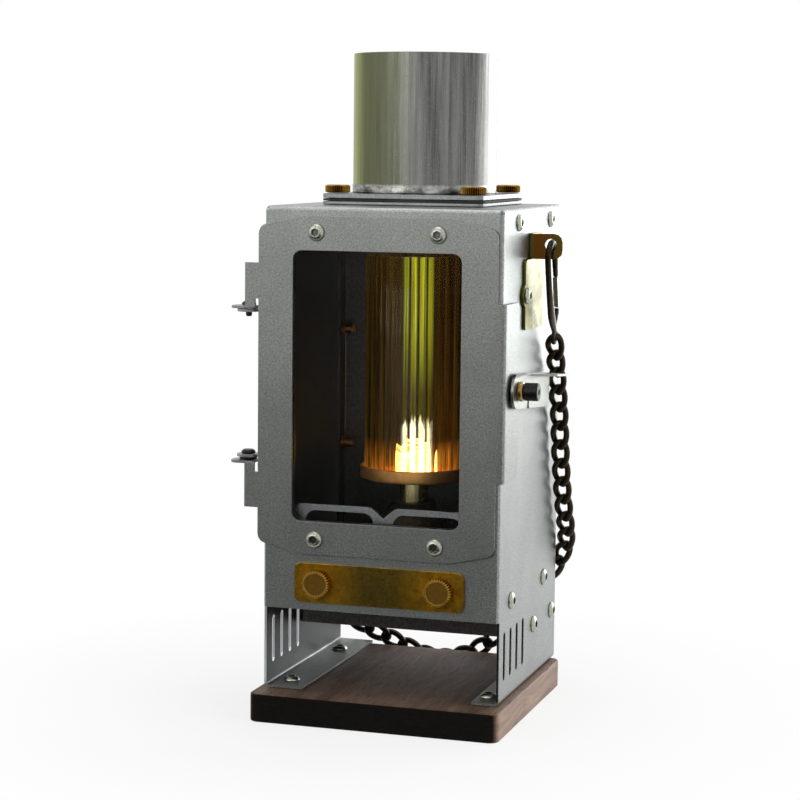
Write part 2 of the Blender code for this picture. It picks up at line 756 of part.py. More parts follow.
def chimney(steel, seal):
    hole = SHANK_RADIUS + HOLE_GAP
    screw_holes = [circle(x, y, hole, HOLE_SIDES) for x, y in FLANGE_SCREW_PLACES]
    flue = [circle(0, CHIMNEY_Y, FLUE_RADIUS, FLUE_SIDES)]
    socket = [circle(0, CHIMNEY_Y, CHIMNEY_RADIUS + 2 * SEAT_GAP, FLUE_SIDES)]
    outline = flange_outline()
    stack = (
        ("chimney_frame", FLANGE_FRAME, FRAME_THICKNESS, flue, steel),
        ("chimney_gasket", FLANGE_GASKET, GASKET_THICKNESS, flue, seal),
        ("chimney_flange", FLANGE_PLATE, FLANGE_THICKNESS, socket, steel),
    )
    for name, low, thickness, opening, material in stack:
        node(name, slab("Z", outline, low, low + thickness, opening + screw_holes), material)
    top = FLANGE_PLATE + CHIMNEY_HEIGHT - SEAT_GAP
    inner = CHIMNEY_RADIUS - CHIMNEY_WALL
    profile = [(CHIMNEY_RADIUS, FLANGE_PLATE), (CHIMNEY_RADIUS, top), (inner, top), (inner, FLANGE_PLATE)]
    tube = node("chimney_tube", turned("Z", profile, (0, CHIMNEY_Y), FLUE_SIDES), steel)
    smooth(tube)


def knurled_screw(name, axis, place, seat, outward, tail, material):
    """Knurled thumb screw: its head starts at the seat, and its shank goes the other way by the tail."""
    teeth = []
    for step in range(2 * KNURL_TEETH):
        turn = math.pi * step / KNURL_TEETH
        radius = KNURL_RADIUS - (step % 2) * KNURL_DEPTH
        teeth.append((place[0] + radius * math.cos(turn), place[1] + radius * math.sin(turn)))
    ends = sorted((seat, seat + outward * KNURL_HEIGHT))
    screw = node(name, slab(axis, teeth, *ends), material)
    ends = sorted((seat + outward * LAP, seat - outward * tail))
    join(screw, cylinder(axis, *place, SHANK_RADIUS, *ends, HOLE_SIDES))


def chimney_screws(material):
    seat = FLANGE_PLATE + FLANGE_THICKNESS + SEAT_GAP
    tail = seat - ROOF + 2 * SHEET + SEAT_GAP + SCREW_TAIL
    for number, place in enumerate(FLANGE_SCREW_PLACES, 1):
        knurled_screw(f"chimney_screw_{number}", "Z", place, seat, 1, tail, material)


def button_screw(name, axis, place, seat, outward, tail, material, axis_empty=None):
    """Button-head screw with a hexagon socket."""
    rim = BUTTON_RADIUS * 0.97
    crown = BUTTON_RADIUS * 0.62
    profile = [
        (0, seat - outward * tail),
        (SHANK_RADIUS, seat - outward * tail),
        (SHANK_RADIUS, seat),
        (rim, seat),
        (BUTTON_RADIUS, seat + outward * BUTTON_HEIGHT * 0.25),
        (crown, seat + outward * BUTTON_HEIGHT),
        (0, seat + outward * BUTTON_HEIGHT),
    ]
    screw = node(name, turned(axis, profile, place, 14), material, axis_empty)
    ends = sorted((seat + outward * BUTTON_HEIGHT * 0.4, seat + outward * BUTTON_HEIGHT * 1.3))
    cut(screw, slab(axis, circle(*place, BUTTON_SOCKET, 6), *ends))
    smooth(screw, 50)


def foot_screws(material):
    seat = BASE + SHEET + SEAT_GAP
    for number, place in enumerate(FOOT_SCREW_PLACES, 1):
        button_screw(f"foot_screw_{number}", "Z", place, seat, 1, FOOT_SCREW_DEPTH, material)


# Door


def door_outline():
    """Front view of the door: sloped shoulders, hinge tabs at the left and the fold's tab at the right."""
    low = DOOR_BOTTOM + DOOR_SHOULDER_DROP
    high = DOOR_TOP - DOOR_SHOULDER_DROP
    near_left = DOOR_LEFT + DOOR_SHOULDER_RUN
    near_right = DOOR_RIGHT - DOOR_SHOULDER_RUN
    past_fold = FLANGE_OUTER + SHEET
    tab_left = DOOR_LEFT - HINGE_TAB_REACH
    slit = DOOR_LEFT - HINGE_RELIEF
    upper_high = UPPER_EAR + HINGE_TAB_HEIGHT + SHEET
    upper_slit = UPPER_EAR + SHEET / 2 + HINGE_RELIEF_HEIGHT
    lower_low = LOWER_EAR - HINGE_TAB_HEIGHT - SHEET
    lower_slit = LOWER_EAR - SHEET / 2 - HINGE_RELIEF_HEIGHT
    return rounded([
        (DOOR_LEFT, low, DOOR_CORNER_RADIUS),
        (near_left, DOOR_BOTTOM, DOOR_SHOULDER_RADIUS),
        (near_right, DOOR_BOTTOM, DOOR_SHOULDER_RADIUS),
        (DOOR_RIGHT, low, DOOR_CORNER_RADIUS),
        (DOOR_RIGHT, FLANGE_LOW, 0),
        (past_fold, FLANGE_LOW, 0),
        (past_fold, FLANGE_LOW + FLANGE_HEIGHT, 0),
        (DOOR_RIGHT, FLANGE_LOW + FLANGE_HEIGHT, 0),
        (DOOR_RIGHT, high, DOOR_CORNER_RADIUS),
        (near_right, DOOR_TOP, DOOR_SHOULDER_RADIUS),
        (near_left, DOOR_TOP, DOOR_SHOULDER_RADIUS),
        (DOOR_LEFT, high, DOOR_CORNER_RADIUS),
        (DOOR_LEFT, upper_high, 0),
        (tab_left, upper_high, 0),
        (tab_left, UPPER_EAR, 0),
        (slit, UPPER_EAR, 0),
        (slit, upper_slit, 0),
        (DOOR_LEFT, upper_slit, 0),
        (DOOR_LEFT, lower_slit, 0),
        (slit, lower_slit, 0),
        (slit, LOWER_EAR, 0),
        (tab_left, LOWER_EAR, 0),
        (tab_left, lower_low, 0),
        (DOOR_LEFT, lower_low, 0),
    ], 4)


def ear_outline():
    """Top view of a door ear round the hinge bolt, its front edge inside the tab's sheet."""
    left = HINGE_X - EAR_LEFT_REACH
    right = HINGE_X + EAR_RIGHT_REACH
    front = DOOR_FACE + LAP
    back = HINGE_Y + EAR_BACK_REACH
    return rounded([
        (left, front, EAR_CORNER),
        (right, front, 0),
        (right, back, EAR_CORNER),
        (left, back, EAR_CORNER),
    ])


def door_plate(material, door):
    profile = rounded([
        (DOOR_LEFT - 2 * HINGE_TAB_REACH, DOOR_FACE, 0),
        (FLANGE_OUTER, DOOR_FACE, BEND_RADIUS),
        (FLANGE_OUTER, DOOR_FACE + FLANGE_REACH, 0),
        (FLANGE_INNER, DOOR_FACE + FLANGE_REACH, 0),
        (FLANGE_INNER, DOOR_BACK, BEND_RADIUS - SHEET),
        (DOOR_LEFT - 2 * HINGE_TAB_REACH, DOOR_BACK, 0),
    ], 3)
    plate = node("door_plate", slab("Z", profile, DOOR_BOTTOM - SHEET, DOOR_TOP + SHEET), material, door)
    window = rectangle(
        DOOR_MIDDLE - WINDOW_HALF, DOOR_MIDDLE + WINDOW_HALF, WINDOW_LOW, WINDOW_HIGH, WINDOW_CORNER, 4
    )
    hole = SHANK_RADIUS + HOLE_GAP
    holes = [window] + [circle(x, z, hole, HOLE_SIDES) for x, z in DOOR_SCREW_PLACES]
    back = DOOR_FACE + FLANGE_REACH + SHEET
    shape_with(plate, "INTERSECT", [slab("Y", door_outline(), DOOR_FACE - SHEET, back, holes)])
    bolt_hole = [circle(HINGE_X, HINGE_Y, HINGE_SHANK_RADIUS + HOLE_GAP, HOLE_SIDES)]
    for level in (UPPER_EAR, LOWER_EAR):
        join(plate, slab("Z", ear_outline(), level - SHEET / 2, level + SHEET / 2, bolt_hole))
    _, pivot_y, pivot_z = LATCH_PIVOT
    corner = LEVER_CORNER
    rear = DOOR_FACE + FLANGE_REACH
    tools = [cylinder("X", pivot_y, pivot_z, hole, FLANGE_INNER - SHEET, FLANGE_OUTER + SHEET, HOLE_SIDES)]
    for level, sign in ((FLANGE_LOW, 1), (FLANGE_LOW + FLANGE_HEIGHT, -1)):
        trim = [
            (rear + LAP, level - sign * LAP),
            (rear + LAP, level + sign * corner),
            (rear - corner, level - sign * LAP),
        ]
        tools.append(slab("X", trim, FLANGE_INNER - SHEET, FLANGE_OUTER + SHEET))
    cut(plate, *tools)


def window_parts(glass, seal, steel, door):
    glass_half = WINDOW_HALF + GLASS_LAP
    glass_low = WINDOW_LOW - GLASS_LAP
    glass_high = WINDOW_HIGH + GLASS_LAP
    back = GLASS_FRONT + GLASS_THICKNESS
    pane = rectangle(DOOR_MIDDLE - glass_half, DOOR_MIDDLE + glass_half, glass_low, glass_high, WINDOW_CORNER)
    node("window_glass", slab("Y", pane, GLASS_FRONT, back), glass, door)
    seat = rectangle(
        DOOR_MIDDLE - glass_half - SEAT_GAP,
        DOOR_MIDDLE + glass_half + SEAT_GAP,
        glass_low - SEAT_GAP,
        glass_high + SEAT_GAP,
        WINDOW_CORNER,
    )
    frame = rectangle(
        DOOR_MIDDLE - RETAINER_HALF,
        DOOR_MIDDLE + RETAINER_HALF,
        RETAINER_LOW,
        RETAINER_HIGH,
        RETAINER_CORNER,
        4,
    )
    opening = rectangle(
        DOOR_MIDDLE - WINDOW_HALF, DOOR_MIDDLE + WINDOW_HALF, WINDOW_LOW, WINDOW_HIGH, WINDOW_CORNER
    )
    hole = SHANK_RADIUS + HOLE_GAP
    screw_holes = [circle(x, z, hole, HOLE_SIDES) for x, z in DOOR_SCREW_PLACES]
    node("window_gasket", slab("Y", frame, GLASS_FRONT, back, [seat] + screw_holes), seal, door)
    node(
        "window_retainer",
        slab("Y", frame, RETAINER_FRONT, RETAINER_FRONT + SHEET, [opening] + screw_holes),
        steel,
        door,
    )


def door_screws(material, door):
    seat = DOOR_FACE - SEAT_GAP
    tail = RETAINER_FRONT + SHEET - seat + SCREW_TAIL
    for number, place in enumerate(DOOR_SCREW_PLACES, 1):
        button_screw(f"door_screw_{number}", "Y", place, seat, -1, tail, material, door)


def hinge_bracket(name, top, leg_up, material):
    """Angle on the box side: a round-ended ear for the bolt, and a leg along the side."""
    wall = -HALF_WIDTH - SEAT_GAP
    face = wall - SHEET
    front = HINGE_Y - BRACKET_LEG_LEAD
    back = front + BRACKET_LEG_DEPTH
    nose = circle(HINGE_X, HINGE_Y, EAR_RADIUS, 20)
    bolt_hole = [circle(HINGE_X, HINGE_Y, HINGE_SHANK_RADIUS + HOLE_GAP, HOLE_SIDES)]
    bracket = node(name, slab("Z", nose, top - SHEET, top, bolt_hole), material)
    web = rounded([
        (HINGE_X + HINGE_SHANK_RADIUS * 2, front, 0),
        (wall - SHEET / 2, front, 0),
        (wall - SHEET / 2, back, 0),
        (HINGE_X + HINGE_SHANK_RADIUS * 2, HINGE_Y + EAR_RADIUS * 0.7, 0),
    ])
    if leg_up:
        ends = (top - SHEET, top - SHEET + BRACKET_LEG_HEIGHT)
    else:
        ends = (top - BRACKET_LEG_HEIGHT, top)
    leg = rectangle(front - LAP, back + LAP, *ends, 0)
    join(bracket, slab("Z", web, top - SHEET, top), slab("X", leg, face, wall))


def hinges(steel, dark):
    upper_top = UPPER_EAR - SHEET / 2 - RUNNING_GAP
    hinge_bracket("hinge_bracket_upper", upper_top, False, steel)
    washer_low = LOWER_EAR + SHEET / 2 + RUNNING_GAP
    lower_top = washer_low + WASHER_THICKNESS + SEAT_GAP + SHEET
    hinge_bracket("hinge_bracket_lower", lower_top, True, steel)
    bore = HINGE_SHANK_RADIUS + HOLE_GAP
    high = washer_low + WASHER_THICKNESS
    profile = [(bore, washer_low), (WASHER_RADIUS, washer_low), (WASHER_RADIUS, high), (bore, high)]
    smooth(node("hinge_washer_lower", turned("Z", profile, (HINGE_X, HINGE_Y), 20), dark))
    seats = (
        ("hinge_bolt_upper", UPPER_EAR + SHEET / 2 + RUNNING_GAP, HINGE_SHANK_LENGTH),
        ("hinge_bolt_lower", lower_top + SEAT_GAP, HINGE_SHANK_LENGTH + SHEET),
    )
    for name, seat, length in seats:
        profile = [
            (0, seat - length),
            (HINGE_SHANK_RADIUS * 0.75, seat - length),
            (HINGE_SHANK_RADIUS, seat - length + BOLT_TIP),
            (HINGE_SHANK_RADIUS, seat),
            (HINGE_HEAD_RADIUS, seat),
            (HINGE_HEAD_RADIUS, seat + HINGE_HEAD_HEIGHT * 0.5),
            (HINGE_HEAD_RADIUS * 0.7, seat + HINGE_HEAD_HEIGHT),
            (0, seat + HINGE_HEAD_HEIGHT),
        ]
        smooth(node(name, turned("Z", profile, (HINGE_X, HINGE_Y), 16), dark))


# Latch


def lever_turn():
    """Turns the lever from its own frame, flat and about its pivot, to its place."""
    return Matrix.Translation(LATCH_PIVOT) @ Matrix.Rotation(-LATCH_SLOPE, 4, "X")


def stud_place():
    """Centre of the stud inside the lever's notch, as (y, z)."""
    top = -LEVER_HALF_HEIGHT + NOTCH_DEPTH
    centre = lever_turn() @ Vector((0, NOTCH_DISTANCE, top - RUNNING_GAP - STUD_RADIUS))
    return centre.y, centre.z


def latch(steel, dark, brass, door, lever_axis):
    half = LEVER_HALF_HEIGHT
    top = -half + NOTCH_DEPTH
    left = NOTCH_DISTANCE - NOTCH_WIDTH / 2
    right = NOTCH_DISTANCE + NOTCH_WIDTH / 2
    mouth = NOTCH_MOUTH / 2
    outline = rounded([
        (-LEVER_NOSE, -half, half * 0.9),
        (NOTCH_DISTANCE - mouth, -half, 0),
        (left, -half + mouth - NOTCH_WIDTH / 2, 0),
        (left, top, NOTCH_WIDTH * 0.4),
        (right, top, NOTCH_WIDTH * 0.4),
        (right, -half + mouth - NOTCH_WIDTH / 2, 0),
        (NOTCH_DISTANCE + mouth, -half, 0),
        (LEVER_TAIL, -half, LEVER_CORNER),
        (LEVER_TAIL, half, 0),
        (-LEVER_NOSE, half, half * 0.9),
    ], 4)
    hole = SHANK_RADIUS + HOLE_GAP
    lever_mesh = slab("X", outline, LEVER_FACE, LEVER_FACE + SHEET, [circle(0, 0, hole, 14)])
    tab = rounded([
        (LEVER_FACE + LAP, TAB_START, 0),
        (LEVER_FACE + SHEET + TAB_REACH, TAB_START + TAB_SLANT, TAB_CORNER),
        (LEVER_FACE + SHEET + TAB_REACH, LEVER_TAIL - LAP, TAB_CORNER),
        (LEVER_FACE + LAP, LEVER_TAIL - LAP, 0),
    ], 3)
    tab_mesh = slab("Z", tab, half - SHEET, half - LAP)
    lever_mesh.transform(lever_turn())
    tab_mesh.transform(lever_turn())
    lever = node("latch_lever", lever_mesh, steel, lever_axis)
    join(lever, tab_mesh)
    _, y, z = LATCH_PIVOT
    bore = SHANK_RADIUS + HOLE_GAP
    rings = (
        ("latch_spacer", SPACER_FACE, SPACER_THICKNESS, SPACER_RADIUS, dark),
        ("latch_bush", BUSH_FACE, BUSH_THICKNESS, BUSH_RADIUS, brass),
    )
    for name, face, thickness, radius, material in rings:
        rim = min(thickness * 0.35, RING_EDGE)
        profile = [(bore, face), (radius, face), (radius, face + thickness - rim)]
        profile += [(radius - rim, face + thickness), (bore, face + thickness)]
        smooth(node(name, turned("X", profile, (y, z), 20), material, door))
    tip = KNOB_FACE + KNOB_LENGTH
    profile = [
        (0, FLANGE_INNER + LAP),
        (SHANK_RADIUS, FLANGE_INNER + LAP),
        (SHANK_RADIUS, KNOB_FACE),
        (KNOB_RADIUS, KNOB_FACE),
        (KNOB_RADIUS, tip - KNOB_EDGE),
        (KNOB_RADIUS - KNOB_EDGE, tip),
        (0, tip),
    ]
    knob = node("latch_knob", turned("X", profile, (y, z), 20), dark, door)
    cut(knob, slab("X", circle(y, z, KNOB_SOCKET, 6), tip - KNOB_LENGTH * 0.4, tip + SHEET))
    smooth(knob)


def catch_stud(material):
    """Stud on the box side for the lever's notch, with its head inside. It ends just short of the lever."""
    head = HALF_WIDTH - SHEET - SEAT_GAP
    profile = [
        (0, head - SHEET),
        (STUD_HEAD_RADIUS, head - SHEET),
        (STUD_HEAD_RADIUS, head),
        (STUD_RADIUS, head),
        (STUD_RADIUS, LEVER_FACE - RUNNING_GAP),
        (0, LEVER_FACE - RUNNING_GAP),
    ]
    smooth(node("catch_stud", turned("X", profile, stud_place(), 14), material))


# Nameplate


def nameplate(brass):
    hole = SHANK_RADIUS + HOLE_GAP
    holes = [circle(side * PLATE_SCREW_HALF_SPACING, PLATE_SCREW_LEVEL, hole, HOLE_SIDES) for side in (-1, 1)]
    outline = rectangle(
        -PLATE_HALF_WIDTH, PLATE_HALF_WIDTH, PLATE_LOW, PLATE_LOW + PLATE_HEIGHT, PLATE_CORNER, 3
    )
    node("nameplate", slab("Y", outline, PLATE_FACE, PLATE_BACK, holes), brass)
    seat = PLATE_FACE - SEAT_GAP
    tail = FRONT + SHEET - seat + SCREW_TAIL
    for number, side in enumerate((-1, 1), 1):
        place = (side * PLATE_SCREW_HALF_SPACING, PLATE_SCREW_LEVEL)
        knurled_screw(f"nameplate_screw_{number}", "Y", place, seat, -1, tail, brass)


# Chain brackets, snap hooks and chain


def chain_bracket(name, side, material):
    """Brass plate on the box side, with a lobe for its screw and an ear folded outward for the hook."""
    low = ROOF - BRACKET_BOTTOM_DROP
    step = ROOF - BRACKET_STEP_DROP
    high = ROOF - BRACKET_TOP_DROP
    ear_front = BRACKET_EAR_Y
    outer = SIDE_FACE + SHEET
    plate = rounded([
        (BRACKET_FRONT_Y, low, BRACKET_CORNER),
        (BRACKET_BACK_Y, low, BRACKET_CORNER),
        (BRACKET_BACK_Y, high, BRACKET_CORNER),
        (ear_front + SHEET / 2, high, 0),
        (ear_front + SHEET / 2, step, 0),
        (BRACKET_FRONT_Y, step, 2 * BRACKET_CORNER),
    ], 3)
    hole = SHANK_RADIUS + HOLE_GAP
    screw = (BRACKET_SCREW_Y, ROOF - BRACKET_SCREW_DROP)
    faces = sorted((side * SIDE_FACE, side * outer))
    bracket = node(name, slab("X", plate, *faces), material)
    join(bracket, cylinder("X", *screw, BRACKET_LOBE_RADIUS, *faces, 20))
    tip = SIDE_FACE + BRACKET_EAR_REACH
    ear = rounded([
        (SIDE_FACE + SHEET / 2, step, 0),
        (tip, step, BRACKET_EAR_CORNER),
        (tip, high, BRACKET_EAR_CORNER),
        (SIDE_FACE + SHEET / 2, high - LAP, 0),
    ], 3)
    ear = [(side * x, z) for x, z in ear]
    hook_hole = circle(side * EAR_HOLE.x, EAR_HOLE.z, BRACKET_HOLE_RADIUS, 18)
    join(bracket, slab("Y", ear, ear_front, ear_front + SHEET, [hook_hole]))
    cut(bracket, cylinder("X", *screw, hole, faces[0] - SHEET, faces[1] + SHEET, HOLE_SIDES))


def hook_frame(side):
    """Place of a hook: local X is its thickness, Y across towards the back, Z up along it to the ear."""
    lean = Matrix.Rotation(HOOK_SIDE_LEAN, 4, "Y")
    slant = Matrix.Rotation(HOOK_BACK_SLANT, 4, "X")
    lift = Matrix.Translation((0, 0, HOOK_SEAT_LIFT))
    right = Matrix.Translation(EAR_HOLE) @ lean @ slant @ lift
    return Matrix.Scale(side, 4, (1, 0, 0)) @ right


def placed(mesh, frame):
    mesh.transform(frame)
    if frame.determinant() < 0:
        bmesh.ops.reverse_faces(mesh, faces=mesh.faces)
    return mesh


def hook_eye(side):
    """Middle of the eye that the chain hangs in."""
    return hook_frame(side) @ Vector((0, 0, -HOOK_LENGTH))


def snap_hook(name, side, material, axis_empty):
    """Flat snap hook: claw, open side for the gate, neck and eye."""
    outer = HOOK_HALF_SPACING + HOOK_WIRE / 2
    inner = HOOK_HALF_SPACING - HOOK_WIRE / 2
    top = HOOK_WIRE / 2
    outline = rounded([
        (-outer, top, outer * 0.98),
        (-outer, -HOOK_BODY_END, HOOK_SHOULDER),
        (-HOOK_NECK_HALF, -HOOK_BODY_END - HOOK_TAPER, 0),
        (-HOOK_NECK_HALF, -HOOK_LENGTH + HOOK_EYE_OUTER * 0.8, 0),
        (HOOK_NECK_HALF, -HOOK_LENGTH + HOOK_EYE_OUTER * 0.8, 0),
        (HOOK_NECK_HALF, -HOOK_BODY_END - HOOK_TAPER, 0),
        (outer, -HOOK_BODY_END, HOOK_SHOULDER),
        (outer, top, outer * 0.98),
    ], 5)
    slot = rectangle(-inner, inner, -HOOK_SLOT_END, -top, inner * 0.98, 5)
    half = HOOK_WIRE / 2
    body = slab("X", outline, -half, half, [slot])
    rims = rims_of(body, "X")
    bmesh.ops.bevel(body, geom=rims, offset=HOOK_EDGE_BREAK, segments=1, profile=0.5, affect="EDGES")
    frame = hook_frame(side)
    hook = node(name, placed(body, frame), material, axis_empty)
    eye = turned(
        "X",
        [
            (HOOK_EYE_HOLE, -HOOK_EYE_THICKNESS / 2),
            (HOOK_EYE_OUTER, -HOOK_EYE_THICKNESS / 2),
            (HOOK_EYE_OUTER, HOOK_EYE_THICKNESS / 2),
            (HOOK_EYE_HOLE, HOOK_EYE_THICKNESS / 2),
        ],
        (0, -HOOK_LENGTH),
        16,
    )
    join(hook, placed(eye, frame))
    mouth = block(-HOOK_WIRE, HOOK_WIRE, inner - HOOK_WIRE / 2, outer * 1.5, -HOOK_SLOT_END, -HOOK_NOSE_END)
    cut(hook, placed(mouth, frame))


def hook_gate(name, side, material, axis_empty):
    """Sprung gate that closes the mouth of the hook, with a thumb nub."""
    outer = HOOK_HALF_SPACING + GATE_WIDTH / 2
    inner = HOOK_HALF_SPACING - GATE_WIDTH / 2
    low = -HOOK_SLOT_END + RUNNING_GAP
    high = -HOOK_NOSE_END - RUNNING_GAP
    nub = (low + high) / 2
    outline = rounded([
        (inner, low, GATE_PIVOT_RADIUS * 0.7),
        (outer, low, GATE_PIVOT_RADIUS * 0.7),
        (outer, nub - GATE_NUB_ROOT, 0),
        (outer + GATE_THUMB_REACH, nub - GATE_NUB_TIP, GATE_NUB_CORNER),
        (outer + GATE_THUMB_REACH, nub + GATE_NUB_TIP, GATE_NUB_CORNER),
        (outer, nub + GATE_NUB_ROOT, 0),
        (outer, high, 0),
        (inner, high, 0),
    ], 3)
    gate = slab("X", outline, -GATE_WIDTH / 2, GATE_WIDTH / 2)
    node(name, placed(gate, hook_frame(side)), material, axis_empty)


def gate_axis(side):
    return hook_frame(side) @ Vector((0, HOOK_HALF_SPACING, -HOOK_SLOT_END + GATE_PIVOT_RADIUS))


def chain_points():
    """Points at equal steps along a smooth curve through the route, one where each pair of links meets."""
    start = hook_eye(1) - Vector((0, 0, CHAIN_WIRE / 4))
    end = hook_eye(-1) - Vector((0, 0, CHAIN_WIRE / 4))
    right = [Vector((HALF_WIDTH + out, BACK + behind, height)) for out, behind, height in CHAIN_ROUTE_RIGHT]
    left = [Vector((-HALF_WIDTH - out, BACK + behind, height)) for out, behind, height in CHAIN_ROUTE_LEFT]
    knots = [start] + right + left[::-1] + [end]
    fine = [knots[0]]
    for index in range(len(knots) - 1):
        before = knots[max(index - 1, 0)]
        after = knots[min(index + 2, len(knots) - 1)]
        here, there = knots[index], knots[index + 1]
        first = here + (there - before) / 6
        second = there - (after - here) / 6
        fine += interpolate_bezier(here, first, second, there, CHAIN_SAMPLES)[1:]
    lengths = [(b - a).length for a, b in zip(fine, fine[1:])]
    count = round(sum(lengths) / CHAIN_PITCH)
    step = sum(lengths) / count
    points = [fine[0]]
    travelled = 0.0
    for a, b, length in zip(fine, fine[1:], lengths):
        while travelled + length >= step * len(points) - 1e-9 and len(points) < count:
            share = (step * len(points) - travelled) / length
            points.append(a.lerp(b, share))
        travelled += length
    return points + [fine[-1]]


def chain_link(start, end, twist_from, twist_to):
    """Curb link between two meeting points: an oval ring, twisted so that its ends stand crosswise."""
    run = end - start
    forward = run.normalized()
    facing = Vector((0, 1, 0))
    facing = (facing - forward * facing.dot(forward)).normalized()
    sideways = forward.cross(facing)
    middle = (start + end) / 2
    half_length = run.length / 2 + (CHAIN_WIRE - CHAIN_WELD) / 2
    half_width = (CHAIN_WIDTH - CHAIN_WIRE) / 2
    centres = []
    for step in range(CHAIN_RING_POINTS):
        turn = 2 * math.pi * step / CHAIN_RING_POINTS
        lengthwise = math.cos(turn)
        across = math.sin(turn)
        bulge = math.copysign(abs(across) ** 0.75, across)
        share = (lengthwise + 1) / 2
        twist = twist_from + (twist_to - twist_from) * share
        side = sideways * math.cos(twist) + facing * math.sin(twist)
        centres.append(middle + forward * (lengthwise * half_length) + side * (bulge * half_width))
    mesh = bmesh.new()
    rings = []
    for index, centre in enumerate(centres):
        tangent = (centres[(index + 1) % len(centres)] - centres[index - 1]).normalized()
        outward = (centre - middle) - tangent * (centre - middle).dot(tangent)
        outward.normalize()
        other = tangent.cross(outward)
        ring = []
        for part in range(CHAIN_WIRE_SIDES):
            turn = 2 * math.pi * (part + 0.5) / CHAIN_WIRE_SIDES
            offset = outward * math.cos(turn) + other * math.sin(turn)
            ring.append(mesh.verts.new(centre + offset * (CHAIN_WIRE / 2)))
        rings.append(ring)
    for index, ring in enumerate(rings):
        following = rings[(index + 1) % len(rings)]
        for part in range(CHAIN_WIRE_SIDES):
            onward = (part + 1) % CHAIN_WIRE_SIDES
            mesh.faces.new((ring[part], ring[onward], following[onward], following[part]))
    bmesh.ops.recalc_face_normals(mesh, faces=mesh.faces)
    return mesh


def chain(material, axis_empty):
    """Curb chain: every second link in one set, joined to the links between them."""
    points = chain_points()
    twist = math.radians(45)
    last = len(points) - 2
    links = []
    for index in range(len(points) - 1):
        twist_from = 0 if index == 0 else -twist
        twist_to = 0 if index == last else twist
        links.append(chain_link(points[index], points[index + 1], twist_from, twist_to))
    whole = node("chain", merged(links[0::2]), material, axis_empty)
    shape_with(whole, "UNION", links[1::2])
    smooth(whole, 60)


# Lamp


def lamp(dark, brass, amber, light, lamp_axis, glass_axis):
    centre = (LAMP_X, LAMP_Y)
    low = TRAY_TOP + SEAT_GAP
    high = low + LAMP_BASE_HEIGHT
    foot = LAMP_FOOT_RADIUS
    base = [
        (0, low),
        (foot, low),
        (foot, low + LAMP_RIM),
        (foot - LAMP_STEP, low + LAMP_RIM + LAMP_STEP),
        (foot - 2 * LAMP_STEP, high - 2 * LAMP_RIM),
        (LAMP_NECK_RADIUS, high),
        (0, high),
    ]
    smooth(node("lamp_base", turned("Z", base, centre, 24), dark, lamp_axis))
    low = high + SEAT_GAP
    high = low + COLLAR_HEIGHT
    collar = [(0, low), (COLLAR_RADIUS, low), (COLLAR_RADIUS, high), (0, high)]
    smooth(node("lamp_collar", turned("Z", collar, centre, 20), brass, lamp_axis))
    low = GALLERY_BOTTOM
    rim = GLASS_RADIUS + SEAT_GAP
    gallery = [
        (0, low),
        (GALLERY_RADIUS - GALLERY_EDGE, low),
        (GALLERY_RADIUS, low + GALLERY_EDGE),
        (GALLERY_RADIUS, low + GALLERY_HEIGHT),
        (rim, low + GALLERY_HEIGHT),
        (rim, low + GALLERY_FLOOR),
        (0, low + GALLERY_FLOOR),
    ]
    smooth(node("gallery_ring", turned("Z", gallery, centre, 36), brass, lamp_axis))
    low = GLASS_BOTTOM
    dome = [(0, low), (EMITTER_RADIUS, low)]
    for step in range(5):
        turn = math.pi / 2 * step / 5
        lift = EMITTER_HEIGHT - EMITTER_RADIUS
        dome.append((EMITTER_RADIUS * math.cos(turn), low + lift + EMITTER_RADIUS * math.sin(turn)))
    dome.append((0, low + EMITTER_HEIGHT))
    smooth(node("lamp_emitter", turned("Z", dome, centre, 20), light, lamp_axis))
    fluted = []
    for step in range(FLUTE_COUNT * FLUTE_POINTS):
        turn = 2 * math.pi * step / (FLUTE_COUNT * FLUTE_POINTS)
        radius = GLASS_RADIUS - FLUTE_DEPTH * (1 - abs(math.cos(FLUTE_COUNT * turn / 2)))
        fluted.append((LAMP_X + radius * math.cos(turn), LAMP_Y + radius * math.sin(turn)))
    bore = circle(*centre, GLASS_RADIUS - GLASS_WALL, FLUTE_COUNT)
    tube = slab("Z", fluted, low, low + GLASS_HEIGHT, [bore])
    smooth(node("fluted_glass", tube, amber, glass_axis), 25)


